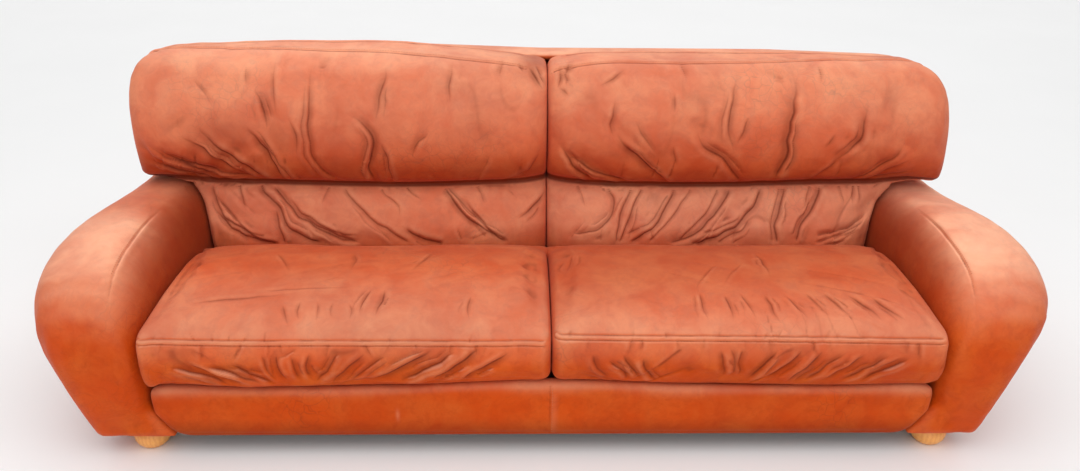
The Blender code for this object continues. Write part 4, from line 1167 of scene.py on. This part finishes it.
def bun_foot(end, side):
    """A turned foot: a bun with a shallow ring cut near its top."""
    node = f"{end}_{side}_foot"
    low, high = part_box(node)
    centre = (low + high) / 2
    tall = high.z - low.z
    middle, reach, widest = 0.53 * tall, 0.67 * tall, (high.x - low.x) / 2
    profile = [(0.0, 0.0)]
    for i in range(25):
        z = tall * (1 - math.cos(math.pi * i / 24)) / 2
        radius = widest * math.sqrt(1 - ((z - middle) / reach) ** 2)
        ring = 0.0009 * math.exp(-(((z - 0.80 * tall) / 0.0016) ** 2))
        profile.append((radius - ring, z))
    profile.append((0.0, tall))
    mesh = bpy.data.meshes.new(node + "_bun")
    obj = bpy.data.objects.new(node + "_bun", mesh)
    bpy.context.scene.collection.objects.link(obj)
    mesh.from_pydata(
        [(centre.x + radius, centre.y, z) for radius, z in profile],
        [(i, i + 1) for i in range(len(profile) - 1)],
        [],
    )
    alone(obj)
    bpy.ops.object.mode_set(mode="EDIT")
    bpy.ops.mesh.select_all(action="SELECT")
    bpy.ops.mesh.spin(steps=56, angle=math.tau, center=(centre.x, centre.y, 0.0), axis=(0, 0, 1))
    bpy.ops.mesh.select_all(action="SELECT")
    bpy.ops.mesh.remove_doubles(threshold=0.00005)
    bpy.ops.mesh.normals_make_consistent(inside=False)
    bpy.ops.object.mode_set(mode="OBJECT")
    bpy.ops.object.shade_smooth_by_angle(angle=math.radians(40))
    mesh.materials.append(BEECH)
    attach(obj, "root")
    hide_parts(node)


# The camera, the floor and the light

YAW, PITCH, ROLL = (math.radians(angle) for angle in (1.219, 25.769, 0.533))


def place_camera():
    forward = Vector((math.sin(YAW) * math.cos(PITCH), math.cos(YAW) * math.cos(PITCH), -math.sin(PITCH)))
    level = Vector((math.cos(YAW), -math.sin(YAW), 0.0))
    upright = level.cross(forward)
    right = level * math.cos(ROLL) + upright * math.sin(ROLL)
    up = upright * math.cos(ROLL) - level * math.sin(ROLL)
    turn = Matrix((right, up, -forward)).transposed().to_4x4()
    lens = bpy.data.cameras.new("camera")
    lens.sensor_width = 36.0
    lens.lens = 31.72
    camera = bpy.data.objects.new("camera", lens)
    camera.matrix_world = Matrix.Translation((-0.0504, -2.145, 1.3923)) @ turn
    bpy.context.scene.collection.objects.link(camera)
    bpy.context.scene.camera = camera


def area_light(name, place, aim, size, power, colour=(1, 1, 1)):
    light = bpy.data.lights.new(name, "AREA")
    light.shape = "RECTANGLE"
    light.size, light.size_y = size
    light.energy = power
    light.color = colour
    obj = bpy.data.objects.new(name, light)
    obj.location = place
    obj.rotation_euler = (Vector(aim) - Vector(place)).to_track_quat("-Z", "Y").to_euler()
    bpy.context.scene.collection.objects.link(obj)


def set_stage():
    bpy.ops.object.select_all(action="DESELECT")
    bpy.ops.mesh.primitive_plane_add(size=30.0, location=(0, 0, 0))
    floor = bpy.context.active_object
    floor.name = "floor"
    made, graph, shader = new_material("pale_floor", 0.75)
    place = graph.add("TexCoord").outputs["Object"]
    tone = graph.blend(graph.noise(place, 1.5, 3.0), rgba((0.90, 0.90, 0.90)), rgba((0.94, 0.94, 0.94)))
    graph.tree.links.new(tone, shader.inputs["Base Color"])
    floor.data.materials.append(made)
    world = bpy.data.worlds.new("studio")
    bpy.context.scene.world = world
    world.use_nodes = True
    sky = world.node_tree.nodes["Background"]
    sky.inputs["Color"].default_value = (1.0, 1.0, 1.0, 1.0)
    sky.inputs["Strength"].default_value = 0.30
    area_light("sky", (0.0, 0.0, 6.0), (0, 0.0, 0.0), (18.0, 16.0), 460.0)
    area_light("overhead", (0.0, -1.5, 3.2), (0, 0.0, 0.3), (4.5, 2.5), 48.0)
    area_light("front", (0.0, -4.5, 2.0), (0, 0.0, 0.3), (5.0, 2.5), 45.0)
    area_light("rear", (0.0, 7.0, 5.0), (0, 7.0, 0.0), (18.0, 9.0), 330.0)
    bpy.context.scene.view_settings.view_transform = "Standard"


place_camera()
set_stage()
BEECH = timber("lacquered_beech", (0.95, 0.46, 0.12), (0.86, 0.36, 0.09), 2.4, 0.32)
RAW_TIMBER = timber("raw_timber", (0.62, 0.44, 0.26), (0.42, 0.27, 0.14), 1.0, 0.7)
DARK_CLOTH = cloth("black_felt", (0.035, 0.034, 0.033), (0.012, 0.012, 0.012), 260.0)
WEBBING = cloth("woven_webbing", (0.16, 0.13, 0.10), (0.05, 0.04, 0.03), 170.0)
ZINC = zinc("dull_zinc")
FINISHES = {
    "frame_timber": RAW_TIMBER,
    "beech": BEECH,
    "dark_cloth": DARK_CLOTH,
    "webbing": WEBBING,
    "bolt_steel": ZINC,
}
for part in frame["record"]["subparts"]:
    finish = FINISHES.get(part["material_slot"])
    if finish is not None:
        node = frame["nodes"][part["node"]]
        node.data.materials.clear()
        node.data.materials.append(finish)

for side, sign, seed in (("left", -1, 3), ("right", 1, 8)):
    seat(side, seed)
    back(side, seed + 20)
    arm(side, sign, seed + 40)
    for end in ("front", "rear"):
        bun_foot(end, side)
rail(61)
outside_back(62)
